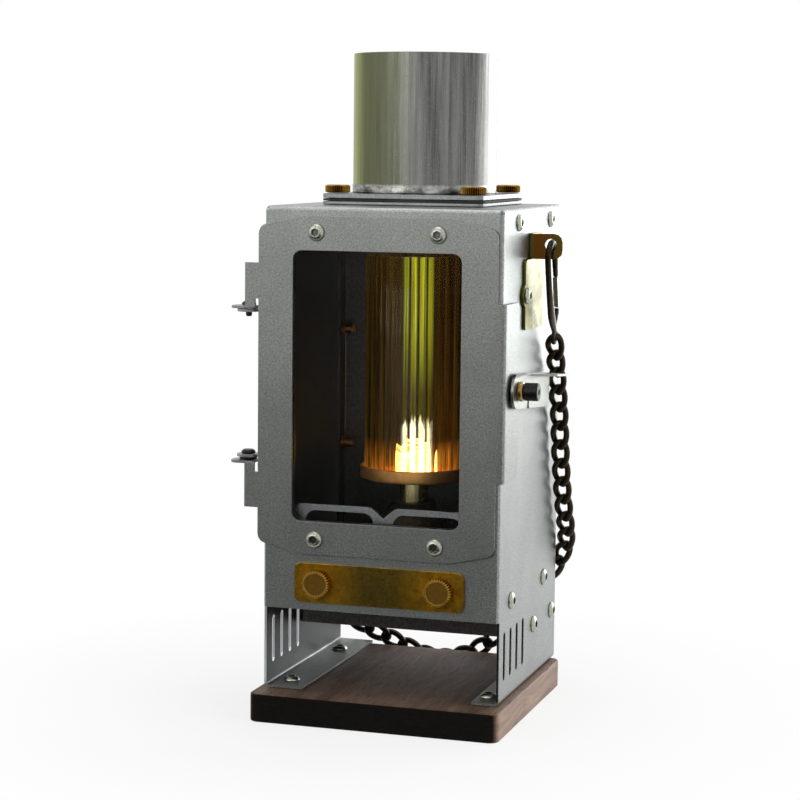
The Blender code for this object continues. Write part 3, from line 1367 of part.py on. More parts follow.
def build():
    clear_scene()
    walnut = finish_of("walnut", (0.16, 0.075, 0.035), 0.55, 0.0)
    steel = finish_of("tumbled steel", (0.42, 0.43, 0.44), 0.42, 1.0)
    side_steel = finish_of("inner steel", (0.30, 0.30, 0.31), 0.5, 1.0)
    bright = finish_of("brushed steel", (0.55, 0.56, 0.55), 0.3, 1.0)
    screw_steel = finish_of("screw steel", (0.62, 0.62, 0.60), 0.25, 1.0)
    dark = finish_of("black oxide", (0.02, 0.02, 0.022), 0.4, 0.8)
    seal = finish_of("seal", (0.03, 0.03, 0.03), 0.8, 0.0)
    brass = finish_of("brass", (0.72, 0.48, 0.18), 0.35, 1.0)
    glass = finish_of("window glass", (0.75, 0.78, 0.76), 0.05, 0.0)
    amber = finish_of("amber glass", (0.85, 0.42, 0.08), 0.08, 0.0)
    light = finish_of("lamp light", (1.0, 0.78, 0.42), 0.6, 0.0)
    chain_black = finish_of("chain bronze", (0.05, 0.04, 0.03), 0.45, 0.9)

    door = pivot("door_axis", (HINGE_X, HINGE_Y, (UPPER_EAR + LOWER_EAR) / 2))
    lever_axis = pivot("latch_axis", (LEVER_FACE, LATCH_PIVOT.y, LATCH_PIVOT.z), door)
    swing = pivot("chain_axis", (0, EAR_HOLE.y, EAR_HOLE.z))
    lamp_axis = pivot("lamp_axis", (LAMP_X, LAMP_Y, TRAY_TOP))
    glass_axis = pivot("glass_axis", (LAMP_X, LAMP_Y, GLASS_BOTTOM), lamp_axis)

    base_board(walnut)
    outer_shell(steel)
    back_panel(side_steel)
    floor_tray(side_steel)
    rear_shelf(side_steel)
    roof_frame(side_steel)
    log_guard(side_steel)
    chimney(bright, seal)
    chimney_screws(brass)
    foot_screws(screw_steel)
    door_plate(steel, door)
    window_parts(glass, seal, side_steel, door)
    door_screws(screw_steel, door)
    hinges(steel, dark)
    latch(steel, dark, brass, door, lever_axis)
    catch_stud(dark)
    nameplate(brass)
    for side, word in ((1, "right"), (-1, "left")):
        chain_bracket(f"chain_bracket_{word}", side, brass)
        seat = side * (SIDE_FACE + SHEET + SEAT_GAP)
        tail = 3 * SHEET + SCREW_TAIL
        place = (BRACKET_SCREW_Y, ROOF - BRACKET_SCREW_DROP)
        button_screw(f"bracket_screw_{word}", "X", place, seat, side, tail, screw_steel)
        snap_hook(f"snap_hook_{word}", side, dark, swing)
        gate = pivot(f"gate_axis_{word}", gate_axis(side), swing)
        hook_gate(f"hook_gate_{word}", side, bright, gate)
    chain(chain_black, swing)
    lamp(dark, brass, amber, light, lamp_axis, glass_axis)


build()
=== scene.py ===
"""Dressed model of a stove-shaped lantern case: folded steel box, walnut board, door, chimney and chain."""

import math

import bmesh
import bpy
import numpy as np
from mathutils import Matrix, Vector


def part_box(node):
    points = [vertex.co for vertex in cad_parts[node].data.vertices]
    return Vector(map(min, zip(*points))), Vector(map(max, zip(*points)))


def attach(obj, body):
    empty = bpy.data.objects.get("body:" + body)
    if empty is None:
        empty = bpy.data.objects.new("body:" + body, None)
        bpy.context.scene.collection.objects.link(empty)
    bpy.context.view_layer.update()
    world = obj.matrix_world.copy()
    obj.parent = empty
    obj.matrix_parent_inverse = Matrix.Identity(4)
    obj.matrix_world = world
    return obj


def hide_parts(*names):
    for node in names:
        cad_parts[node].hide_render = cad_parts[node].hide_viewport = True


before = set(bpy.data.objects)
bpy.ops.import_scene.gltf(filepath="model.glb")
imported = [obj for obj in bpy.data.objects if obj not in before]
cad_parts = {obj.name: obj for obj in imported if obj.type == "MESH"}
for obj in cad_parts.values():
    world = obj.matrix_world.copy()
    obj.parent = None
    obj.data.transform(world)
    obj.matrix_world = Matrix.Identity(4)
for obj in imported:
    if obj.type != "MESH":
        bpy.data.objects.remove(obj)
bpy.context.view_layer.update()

# Walnut base board
#
# A 13 mm board of oiled walnut, glued from staves that run from front to back, with softened edges and
# corners. The folded feet of the box are screwed down onto it.


def feed(tree, node, inputs):
    """Fills a node's inputs, each with a number, a colour or another node's socket."""
    for key, value in inputs.items():
        if isinstance(value, bpy.types.NodeSocket):
            tree.links.new(value, node.inputs[key])
        else:
            node.inputs[key].default_value = value


def having(thing, **settings):
    """Sets attributes of a node, a modifier, a light or another thing, and gives it back."""
    for key, value in settings.items():
        setattr(thing, key, value)
    return thing


def put(tree, kind, inputs=None, **settings):
    """Adds a node to a tree. A kind without the word Node in it is a shader node."""
    node = having(tree.nodes.new(kind if "Node" in kind else "ShaderNode" + kind), **settings)
    feed(tree, node, inputs or {})
    return node


class Finish:
    """A material in the making: its node tree, its main shader and where the surface lies, in metres."""

    def __init__(self, name):
        self.material = bpy.data.materials.new(name)
        self.material.use_nodes = True
        self.tree = self.material.node_tree
        self.shader = self.tree.nodes["Principled BSDF"]
        self.place = self.put("TexCoord").outputs["Object"]

    def put(self, kind, inputs=None, **settings):
        return put(self.tree, kind, inputs, **settings)

    def along(self, axis, vector=None):
        return self.put("SeparateXYZ", {0: vector or self.place}).outputs[axis]

    def noise(self, scale, detail=3.0, roughness=0.6, distortion=0.0, place=None):
        """Noise of one scale per metre, or of three along X, Y and Z."""
        scales = scale if isinstance(scale, tuple) else (scale,) * 3
        mapped = self.put("Mapping", {"Vector": place or self.place, "Scale": scales}).outputs["Vector"]
        settings = {"Detail": detail, "Roughness": roughness, "Distortion": distortion}
        return self.put("TexNoise", {"Vector": mapped, "Scale": 1.0, **settings}).outputs["Fac"]

    def spread(self, value, low, high, to_low=0.0, to_high=1.0):
        inputs = {"Value": value, "From Min": low, "From Max": high, "To Min": to_low, "To Max": to_high}
        return self.put("MapRange", inputs).outputs["Result"]

    def math(self, operation, first, second=0.0):
        return self.put("Math", {0: first, 1: second}, operation=operation).outputs[0]

    def times(self, first, *others):
        for other in others:
            first = self.math("MULTIPLY", first, other)
        return first

    def vector(self, operation, first, second=(0, 0, 0), output="Vector"):
        return self.put("VectorMath", {0: first, 1: second}, operation=operation).outputs[output]

    def mix(self, share, first, second, mode="MIX"):
        first, second = (c if isinstance(c, bpy.types.NodeSocket) else (*c, 1) for c in (first, second))
        return self.put("Mix", {0: share, 6: first, 7: second}, data_type="RGBA", blend_type=mode).outputs[2]

    def done(self, colour, roughness, height=None, distance=0.0, others=None):
        """Fills the shader, adds a bump where a height is given, and gives the material back."""
        feed(self.tree, self.shader, {"Base Color": colour, "Roughness": roughness, **(others or {})})
        if height:
            bump = self.put("Bump", {"Height": height, "Distance": distance, "Strength": 1.0})
            feed(self.tree, self.shader, {"Normal": bump.outputs["Normal"]})
        return self.material


def walnut_finish():
    wood = Finish("oiled_walnut")
    bent = wood.put("TexNoise", {"Vector": wood.place, "Scale": 22.0, "Detail": 2.0}).outputs["Color"]
    flowing = wood.vector("ADD", wood.place, wood.vector("MULTIPLY", bent, (0.012, 0.012, 0.012)))
    figure = wood.noise((190, 9, 190), 4.0, 0.62, 0.3, flowing)
    fibres = wood.noise((1500, 34, 1500), 2.0, 0.6, place=flowing)
    pores = wood.spread(wood.noise((2600, 90, 2600), 1.0, 0.5), 0.28, 0.40)
    joint_shift, staves_per_metre = 0.0195, 27.0
    stave = wood.math("FLOOR", wood.times(wood.math("ADD", wood.along("X"), joint_shift), staves_per_metre))
    tone = wood.put("TexWhiteNoise", {"W": stave}, noise_dimensions="1D").outputs["Value"]
    colour = wood.mix(wood.spread(figure, 0.32, 0.68), (0.046, 0.027, 0.019), (0.195, 0.116, 0.076))
    colour = wood.mix(wood.spread(fibres, 0.3, 0.7, 0.0, 0.55), colour, (0.085, 0.050, 0.034))
    colour = wood.mix(wood.spread(tone, 0.0, 1.0, 0.0, 0.60), colour, (0.240, 0.158, 0.116))
    colour = wood.mix(pores, (0.022, 0.013, 0.009), colour)
    facing = wood.put("TexCoord").outputs["Normal"]
    # Painted light: faces that look along X are painted much lighter, as if lit from the side.
    long_face = wood.spread(wood.math("ABSOLUTE", wood.along("X", facing)), 0.80, 0.98, 0.0, 0.60)
    side_faces_painted_light = wood.mix(wood.spread(figure, 0.35, 0.65), (0.200, 0.135, 0.100), (0.440, 0.330, 0.270))
    colour = wood.mix(long_face, colour, side_faces_painted_light)
    end_face = wood.spread(wood.math("ABSOLUTE", wood.along("Y", facing)), 0.55, 0.85)
    rings = wood.noise((260, 260, 900))
    # End grain is darker, and on top of that the end faces are painted nearly black as painted shade.
    end_grain_and_painted_shade = wood.mix(wood.spread(rings, 0.35, 0.65), (0.0025, 0.0020, 0.0015), (0.0065, 0.0048, 0.0036))
    colour = wood.mix(end_face, colour, end_grain_and_painted_shade)
    roughness = wood.spread(end_face, 0.0, 1.0, wood.spread(fibres, 0.2, 0.8, 0.42, 0.62), 0.85)
    return wood.done(colour, roughness, wood.mix(0.5, fibres, pores), 0.00012, {"Specular IOR Level": 0.12})


def rounded_rectangle(low, high, radius, steps=8):
    """Outline of a rectangle with arcs at its corners."""
    left, right, front, back = low.x + radius, high.x - radius, low.y + radius, high.y - radius
    points = []
    for quarter, (x, y) in enumerate(((left, front), (right, front), (right, back), (left, back))):
        for step in range(steps + 1):
            turn = math.pi * (1 + (quarter + step / steps) / 2)
            points.append((x + radius * math.cos(turn), y + radius * math.sin(turn)))
    return points


def linked(name, data):
    thing = bpy.data.objects.new(name, data)
    bpy.context.scene.collection.objects.link(thing)
    return thing


def object_of(name, mesh, material):
    mesh.materials.clear()
    mesh.materials.append(material)
    return linked(name, mesh)


def plain_copy(thing, name):
    """Mesh of an object with its modifiers applied."""
    graph = bpy.context.evaluated_depsgraph_get()
    mesh = bpy.data.meshes.new_from_object(thing.evaluated_get(graph))
    mesh.name = name
    return mesh


def mesh_from(name, work):
    """Mesh of a finished work in bmesh, which is freed."""
    mesh = bpy.data.meshes.new(name)
    work.to_mesh(mesh)
    work.free()
    return mesh


def plate_mesh(name, outline, thickness, edge, rounds):
    """Flat plate round z = 0 with rounded rims, made as a filled curve."""
    curve = bpy.data.curves.new(name, "CURVE")
    having(curve, dimensions="2D", fill_mode="BOTH", bevel_depth=edge, bevel_resolution=rounds)
    having(curve, offset=-edge, extrude=thickness / 2 - edge)
    spline = curve.splines.new("POLY")
    spline.points.add(len(outline) - 1)
    for point, place in zip(spline.points, outline):
        point.co = (place[0], place[1], 0, 1)
    spline.use_cyclic_u = True
    thing = linked(name, curve)
    work = bmesh.new()
    work.from_mesh(plain_copy(thing, name))
    bpy.data.objects.remove(thing)
    bmesh.ops.remove_doubles(work, verts=work.verts, dist=1e-6)
    bmesh.ops.recalc_face_normals(work, faces=work.faces)
    return mesh_from(name, work)


def smooth_shaded(mesh, angle):
    mesh.shade_smooth()
    mesh.set_sharp_from_angle(angle=math.radians(angle))
    return mesh


def corners_of(cad_name):
    return [Vector(corner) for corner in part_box(cad_name)]


board_low, board_high = corners_of("base_board")
board_corner = 0.0045
board_edge = 0.0009
board_outline = rounded_rectangle(board_low, board_high, board_corner)
board_mesh = plate_mesh("walnut_board", board_outline, board_high.z - board_low.z, board_edge, 3)
board_mesh.transform(Matrix.Translation((0, 0, (board_low.z + board_high.z) / 2)))
board = object_of("walnut_board", smooth_shaded(board_mesh, 50), walnut_finish())
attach(board, "case")
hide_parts("base_board")

# Folded steel box
#
# One sheet of 1.2 mm steel folded into the front, both sides, the roof and two inward feet, and tumbled to
# a fine grey grain. Its edges are only just broken, so they catch the light.


def scaled(colour, factor):
    return [value * factor for value in colour]


def tumbled_steel(name, dark, light, roughness, grain=1500.0, over=None):
    """Sheet steel tumbled with stones: fine speckle, short scratches every way and soft cloudy stains.

    over changes the colour in places.
    """
    steel = Finish(name)
    cloud = steel.noise((38, 38, 26), 3.0, 0.55, 0.4)
    scratch = 0.0
    for turn in (0.35, 1.25, 2.3):
        turned = steel.put("Mapping", {"Vector": steel.place, "Rotation": (turn, turn * 0.7, turn * 1.3)})
        lines = steel.noise((2600, 130, 1400), 1.0, 0.4, place=turned.outputs["Vector"])
        scratch = steel.math("MAXIMUM", scratch, steel.spread(lines, 0.66, 0.74))
    speckle = steel.times(steel.noise(grain * 0.8, 4.0, 0.8), 0.62)
    tone = steel.math("ADD", speckle, steel.times(steel.noise(grain * 2.6, 2.0, 0.6), 0.38))
    colour = steel.mix(steel.spread(tone, 0.40, 0.60), scaled(dark, 0.78), light)
    colour = steel.mix(steel.spread(cloud, 0.35, 0.7, 0.0, 0.30), colour, scaled(dark, 0.82))
    colour = steel.mix(steel.times(scratch, 0.30), colour, scaled(light, 1.35))
    if over:
        colour = over(steel, colour)
    rough = steel.spread(tone, 0.3, 0.7, roughness - 0.06, roughness + 0.10)
    return steel.done(colour, rough, tone, 0.00010, {"Metallic": 1.0})


def softened(name, cad_name, body, material, slot, edge=0.00022, crease=20, cutter=None):
    """Copy of a CAD node with a small bevel on its sharp edges. Faces that meet under crease are smooth."""
    work = bmesh.new()
    work.from_mesh(bpy.data.objects[cad_name].data)
    bmesh.ops.remove_doubles(work, verts=work.verts, dist=2e-6)
    bmesh.ops.dissolve_limit(work, angle_limit=math.radians(0.6), verts=work.verts, edges=work.edges)
    many_sided = [face for face in work.faces if len(face.verts) > 4]
    bmesh.ops.triangulate(work, faces=many_sided, ngon_method="BEAUTY")
    thing = object_of(name, mesh_from(name, work), material)
    if cutter:
        opened = thing.modifiers.new("opened", "BOOLEAN")
        having(opened, operation="DIFFERENCE", solver="EXACT", object=cutter)
    bevel = thing.modifiers.new("broken edges", "BEVEL")
    having(bevel, width=edge, segments=2, miter_outer="MITER_ARC")
    having(bevel, limit_method="ANGLE", angle_limit=math.radians(30))
    made = plain_copy(thing, name)
    thing.modifiers.clear()
    thing.data = smooth_shaded(made, crease)
    level = having(thing.modifiers.new("level faces", "WEIGHTED_NORMAL"), keep_sharp=True, weight=100)
    thing.data = plain_copy(thing, name)
    thing.modifiers.remove(level)
    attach(thing, body)
    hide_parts(cad_name)


shell_low, shell_high = corners_of("outer_shell")
sheet = 0.0012
slot_count = 4
slot_pitch = 0.0109
slot_first = shell_low.y + 0.0107
slot_half_width = 0.0018
slot_low, slot_high = 0.0232, 0.0449
slots = bmesh.new()
for side in (-1, 1):
    for number in range(slot_count):
        centre = (side * shell_high.x, slot_first + number * slot_pitch, (slot_low + slot_high) / 2)
        size = (0.01, 2 * slot_half_width, slot_high - slot_low, 1)
        shape = Matrix.Translation(centre) @ Matrix.Diagonal(size)
        box = bmesh.ops.create_cube(slots, size=1.0, matrix=shape)["verts"]
        edges = {edge for vert in box for edge in vert.link_edges}
        through = [edge for edge in edges if abs((edge.verts[0].co - edge.verts[1].co).x) > 0.005]
        rounding = slot_half_width * 0.98
        bmesh.ops.bevel(slots, geom=through, offset=rounding, segments=5, profile=0.5, affect="EDGES")
slot_cutter = linked("vent slots", mesh_from("vent slots", slots))


def sides_with_painted_shade(steel, colour):
    """Painted shade on the inner sides, and on the cut edges of the slots a painted highlight in the left
    side and painted shade in the right.
    """
    behind_front = steel.spread(steel.along("Y"), shell_low.y + sheet, shell_low.y + sheet + 0.0008)
    above_feet = steel.spread(steel.along("Z"), shell_low.z + sheet, shell_low.z + 2 * sheet)
    under_roof = steel.spread(steel.along("Z"), shell_high.z - 2 * sheet, shell_high.z - sheet, 1.0, 0.0)
    within = steel.times(behind_front, above_feet, under_roof)
    across = steel.math("ABSOLUTE", steel.along("X"))
    inner = steel.spread(across, shell_high.x - 0.9 * sheet, shell_high.x - 0.8 * sheet, 1.0, 0.0)
    cut = steel.spread(across, shell_high.x - 0.30 * sheet, shell_high.x - 0.20 * sheet, 1.0, 0.0)
    # Painted highlight on the slot edges of the left side and painted shade on those of the right side.
    painted_slot_edge_light_and_shade = steel.mix(steel.spread(steel.along("X"), -0.01, 0.01), (0.75, 0.76, 0.80), (0.008, 0.008, 0.009))
    lined = steel.mix(steel.times(within, cut), colour, painted_slot_edge_light_and_shade)
    # Painted shade over the inner sides.
    return steel.mix(steel.times(within, inner), lined, steel.mix(0.62, colour, (0.020, 0.022, 0.026)))


shell_steel = tumbled_steel(
    "tumbled_shell_steel", (0.220, 0.232, 0.230), (0.410, 0.425, 0.410), 0.40, over=sides_with_painted_shade
)
softened("folded_shell", "outer_shell", "case", shell_steel, "shell_steel", cutter=slot_cutter)
bpy.data.objects.remove(slot_cutter)

# Sheets inside the box
#
# The back panel, the floor, the pan below it, the roof frame and the log guard are plain 1.2 mm steel,
# folded and screwed in from the sides. They are only seen through the window and from below. Their
# dark brown-grey is painted shade.


def dress(material, *cad_names):
    """Gives CAD pieces that are shown as they are their material."""
    for cad_name in cad_names:
        materials = bpy.data.objects[cad_name].data.materials
        materials.clear()
        materials.append(material)


# Painted shade: the inner sheets and the log guard are coloured much darker than the shell.
inner_steel = tumbled_steel("inner_steel_painted_shade", (0.085, 0.080, 0.076), (0.150, 0.140, 0.130), 0.38, 900.0)
guard_steel_painted_shade = tumbled_steel("guard_steel_painted_shade", (0.11, 0.112, 0.115), (0.19, 0.192, 0.195), 0.34, 1300.0)
dress(inner_steel, "rear_panel", "floor_tray", "rear_shelf", "roof_frame")
softened("slotted_guard", "log_guard", "case", guard_steel_painted_shade, "inner_steel")

# Chimney
#
# A steel tube brushed along its length and bead-blasted, rolled and soldered into a square flange. The
# flange sits on a black gasket and a thin frame, and four knurled brass screws hold the stack to the roof.


def around(sides):
    """Turn, cosine and sine at equal steps round a circle."""
    turns = [2 * math.pi * step / sides for step in range(sides)]
    return [(turn, math.cos(turn), math.sin(turn)) for turn in turns]


def lofted(name, rings, crease, closed=False, mark=None):
    """Skin over rings of points, with faces over both ends or closed from the last ring to the first.

    A ring of one point is a pole. With mark, each point's fourth number goes into the attribute of that name.
    """
    work = bmesh.new()
    layer = work.verts.layers.float.new(mark) if mark else None
    rows = []
    for ring in rings:
        rows.append([work.verts.new(point[:3]) for point in ring])
        if mark:
            for vert, point in zip(rows[-1], ring):
                vert[layer] = point[3]
    for row, following in zip(rows, rows[1:] + rows[:1] * closed):
        sides = max(len(row), len(following))
        for step in range(sides):
            onward = (step + 1) % sides
            corners = [row[step % len(row)], row[onward % len(row)]]
            corners += [following[onward % len(following)], following[step % len(following)]]
            distinct = list(dict.fromkeys(corners))
            if len(distinct) > 2:
                work.faces.new(distinct)
    for row in (rows[0], rows[-1]):
        if len(row) > 2 and not closed:
            work.faces.new(row)
    bmesh.ops.recalc_face_normals(work, faces=work.faces)
    return smooth_shaded(mesh_from(name, work), crease)


def turned_mesh(name, profile, sides, crease, closed=True):
    """Turned body about Z: a closed loop of (radius, height), or with closed off a line between poles."""
    rings = []
    for radius, height in profile:
        rings.append([(radius * c, radius * s, height) for _, c, s in around(sides if radius else 1)])
    return lofted(name, rings, crease, closed)


def brushed_tube_steel():
    steel = Finish("brushed_tube_steel")
    narrow = steel.noise((520, 520, 14))
    hair = steel.noise((2600, 2600, 60), 2.0, 0.5)
    sparkle = steel.noise(2400, 2.0, 0.7)
    wide = steel.noise((105, 105, 4), 2.0, 0.5)
    tone = steel.math("ADD", steel.times(wide, 0.55), steel.times(narrow, 0.45))
    colour = steel.mix(steel.spread(tone, 0.40, 0.60), (0.055, 0.056, 0.050), (0.185, 0.185, 0.178))
    colour = steel.mix(steel.spread(hair, 0.35, 0.7, 0.0, 0.22), colour, (0.28, 0.28, 0.27))
    colour = steel.mix(steel.spread(sparkle, 0.56, 0.72, 0.0, 0.40), colour, (0.40, 0.40, 0.39))
    # Painted reflection: a greenish tint over the left and front-left of the pipe and a yellow streak near
    # its left edge stand in for a reflection.
    from_axis = steel.vector("SUBTRACT", steel.place, tube_axis.translation)
    towards = steel.math("DIVIDE", steel.vector("DOT_PRODUCT", from_axis, painted_reflection_side, "Value"), tube_radius)
    colour = steel.mix(steel.spread(towards, 0.15, 0.80, 0.0, 0.80), colour, (0.095, 0.105, 0.032))
    painted_reflection_streak = steel.times(steel.spread(towards, 0.86, 0.985), steel.spread(narrow, 0.3, 0.6, 0.45, 1.0))
    colour = steel.mix(painted_reflection_streak, colour, (0.265, 0.290, 0.028))
    foot = steel.spread(steel.along("Z"), foot_top - 0.0006, foot_top + 0.0004, 1.0, 0.0)
    stain = steel.noise((160, 160, 260))
    solder = steel.mix(steel.spread(stain, 0.40, 0.62), (0.11, 0.11, 0.10), (0.42, 0.42, 0.40))
    rough = steel.spread(tone, 0.3, 0.7, 0.36, 0.24)
    colour = steel.mix(foot, colour, solder)
    return steel.done(colour, rough, steel.math("ADD", hair, sparkle), 0.00006, {"Metallic": 1.0})


tube_low, tube_high = corners_of("chimney_tube")
tube_axis = Matrix.Translation(((tube_low.x + tube_high.x) / 2, (tube_low.y + tube_high.y) / 2, 0))
tube_radius = (tube_high.x - tube_low.x) / 2
tube_wall = 0.0012
# Direction across the pipe in which the painted reflection lies.
painted_reflection_side = (-0.94, -0.34, 0.0)
rim = 0.0003
rim_middle = rim * 0.3
bead = 0.0003
bead_slope = 0.0004
bead_low, foot_top = tube_low.z + 0.0022, tube_low.z + 0.0062
foot_radius = tube_radius - 0.0001
tube_bore = tube_radius - tube_wall
tube_top = tube_high.z
tube_profile = [
    (foot_radius, tube_low.z),
    (foot_radius, bead_low),
    (tube_radius + bead, bead_low + bead_slope),
    (tube_radius + bead, foot_top - bead_slope),
    (tube_radius, foot_top),
    (tube_radius, tube_top - rim),
    (tube_radius - rim_middle, tube_top - rim_middle),
    (tube_radius - rim, tube_top),
    (tube_bore + rim, tube_top),
    (tube_bore + rim_middle, tube_top - rim_middle),
    (tube_bore, tube_top - rim),
    (tube_bore, tube_low.z),
]
tube_mesh = turned_mesh("chimney_pipe", tube_profile, 120, 40)
tube_mesh.transform(tube_axis)
tube = object_of("chimney_pipe", tube_mesh, brushed_tube_steel())
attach(tube, "case")
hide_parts("chimney_tube")

flange_steel = tumbled_steel("flange_steel", (0.20, 0.205, 0.21), (0.34, 0.35, 0.35), 0.36, 1700.0)
softened("square_flange", "chimney_flange", "case", flange_steel, "chimney_steel")
softened("under_frame", "chimney_frame", "case", flange_steel, "chimney_steel")


def sealing_sheet():
    seal = Finish("black_sealing_sheet")
    fleck = seal.noise(2200, 2.0, 0.6)
    colour = seal.mix(seal.spread(fleck, 0.35, 0.65), (0.010, 0.010, 0.011), (0.035, 0.035, 0.037))
    return seal.done(colour, 0.75, fleck, 0.00008)


dress(sealing_sheet(), "chimney_gasket", "window_gasket")

# Knurled brass thumb screws
#
# Turned brass heads with a straight knurl and broken edges: four hold the chimney flange and two wider ones
# the nameplate. Fingers have darkened their faces, and the grooves of the knurl are coloured darker.


def brass_finish(name, dark, light, roughness=0.34, stain=0.55, grain=1200.0, over=None):
    """Brass gone warm and patchy: cloudy patina, a fine brushed grain and brighter worn spots."""
    brass = Finish(name)
    patina = brass.noise(75, 4.0, 0.6, 0.5)
    fine = brass.noise(grain, 3.0, 0.7)
    colour = brass.mix(brass.spread(patina, 0.35, 0.65), dark, light)
    colour = brass.mix(brass.spread(fine, 0.35, 0.68, 0.0, stain), colour, scaled(dark, 0.55))
    if over:
        colour = over(brass, colour)
    rough = brass.spread(patina, 0.3, 0.7, roughness + 0.1, roughness - 0.06)
    return brass.done(colour, rough, fine, 0.00006, {"Metallic": 1.0})


def node_group(name, kinds):
    """Geometry Nodes tree with named inputs of the given kinds, its input sockets and their identifiers."""
    tree = bpy.data.node_groups.new(name, "GeometryNodeTree")
    keys = {}
    for label, kind in kinds.items():
        socket = tree.interface.new_socket(label, in_out="INPUT", socket_type="NodeSocket" + kind)
        keys[label] = socket.identifier
    tree.interface.new_socket("Pieces", in_out="OUTPUT", socket_type="NodeSocketGeometry")
    return tree, put(tree, "NodeGroupInput").outputs, keys


def realized_copies(tree, finish, inputs):
    """Ends a tree: copies on points, made real and given their material."""
    copies = put(tree, "GeometryNodeInstanceOnPoints", inputs).outputs["Instances"]
    real = put(tree, "GeometryNodeRealizeInstances", {"Geometry": copies}).outputs["Geometry"]
    painted = put(tree, "GeometryNodeSetMaterial", {"Geometry": real, "Material": finish}).outputs["Geometry"]
    put(tree, "NodeGroupOutput", {"Pieces": painted})


def grown(name, base, tree, values):
    """Plain mesh that a tree makes from a base mesh. The values are its inputs by identifier."""
    carrier = linked(name, base)
    change = carrier.modifiers.new("copies", "NODES")
    change.node_group = tree
    for identifier, value in values.items():
        change[identifier] = value
    made = plain_copy(carrier, name)
    bpy.data.objects.remove(carrier)
    return made


def instanced(name, piece, places, material):
    """Object with copies of a small piece at (position, outward direction)."""
    points = bpy.data.meshes.new(name)
    points.from_pydata([place for place, _ in places], [], [])
    facing = points.attributes.new("facing", "FLOAT_VECTOR", "POINT")
    for index, (_, outward) in enumerate(places):
        facing.data[index].vector = outward
    kinds = {"Places": "Geometry", "Piece": "Object", "Size": "Float", "Finish": "Material"}
    tree, entry, keys = node_group(name, kinds)
    info = put(tree, "GeometryNodeObjectInfo", {"Object": entry["Piece"], "As Instance": True})
    direction = put(tree, "GeometryNodeInputNamedAttribute", {"Name": "facing"}, data_type="FLOAT_VECTOR")
    outwards = direction.outputs["Attribute"]
    align = put(tree, "FunctionNodeAlignRotationToVector", {"Vector": outwards}, axis="Z")
    spots = put(tree, "GeometryNodeMeshToPoints", {"Mesh": entry["Places"]})
    realized_copies(tree, entry["Finish"], {
        "Points": spots.outputs["Points"],
        "Instance": info.outputs["Geometry"],
        "Rotation": align.outputs["Rotation"],
        "Scale": entry["Size"],
    })
    source = linked(name + " source", piece)
    made = grown(name, points, tree, {keys["Piece"]: source, keys["Size"]: 1.0, keys["Finish"]: material})
    bpy.data.objects.remove(source)
    return object_of(name, made, material)


def knurled_head(radius, height, teeth=32, depth=0.00075):
    """Screw head with its seat at z = 0: knurled side, chamfers, and a face with a shallow turned ring."""
    rings = []
    for share, level in ((0.90, 0), (1, 0.00045), (1, height - 0.0005), (0.90, height), (0.80, height)):
        ring = []
        for turn, c, s in around(4 * teeth):
            wave = (1 + math.cos(teeth * turn)) / 2 if share == 1 else 0.35
            spot = radius * share - depth * (1 - wave) * (share > 0.85)
            ring.append((spot * c, spot * s, level, (1 - wave) * (share == 1)))
        rings.append(ring)
    for share in (0.77, 0.30):
        spot = radius * share
        rings.append([(spot * c, spot * s, height - 0.00012, 0.0) for _, c, s in around(4 * teeth)])
    return lofted("knurled head", rings, 24, mark="groove")


def dark_grooves(brass, colour):
    groove = brass.put("Attribute", attribute_name="groove").outputs["Fac"]
    return brass.mix(groove, colour, (0.026, 0.0135, 0.0020))


def screw_seats(names, head, axis, outward):
    """Seat centre of each CAD screw: the middle of its box, at the face that its head stands on."""
    places = []
    index = "XYZ".index(axis)
    for name in names:
        low, high = corners_of(name)
        middle = (low + high) / 2
        middle[index] = (high[index] - head) if outward > 0 else (low[index] + head)
        direction = Vector((0, 0, 0))
        direction[index] = outward
        places.append((middle, direction))
    return places


knurl_height = 0.0036
thumb_brass = brass_finish(
    "thumb_screw_brass", (0.26, 0.135, 0.020), (0.46, 0.26, 0.045), 0.36, 0.45, over=dark_grooves
)
for name, stem, count, axis, outward, knurl_radius in (
    ("chimney_thumb_screws", "chimney_screw", 4, "Z", 1, 0.0057),
    ("nameplate_thumb_screws", "nameplate_screw", 2, "Y", -1, 0.0065),
):
    cad_names = [f"{stem}_{number + 1}" for number in range(count)]
    thumb_places = screw_seats(cad_names, knurl_height, axis, outward)
    thumb_screws = instanced(name, knurled_head(knurl_radius, knurl_height), thumb_places, thumb_brass)
    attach(thumb_screws, "case")
    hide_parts(*cad_names)

# Button-head screws
#
# M4 button heads with hexagon sockets, zinc-bright. They hold the feet to the board, the door's window
# frame, the chain brackets, and through both sides the floor, the pan, the roof frame and the back panel.


def bright_screw_steel():
    steel = Finish("bright_screw_steel")
    fine = steel.noise(1800, 3.0, 0.7)
    colour = steel.mix(steel.spread(fine, 0.35, 0.65), (0.30, 0.31, 0.25), (0.50, 0.52, 0.44))
    # Painted shade: the hexagon socket is coloured nearly black, a little less at its floor.
    socket_shade = steel.put("Attribute", attribute_name="socket_shade").outputs["Fac"]
    colour = steel.mix(socket_shade, colour, (0.020, 0.018, 0.022))
    rough = steel.spread(fine, 0.3, 0.7, 0.24, 0.38)
    return steel.done(colour, rough, fine, 0.00004, {"Metallic": 1.0})


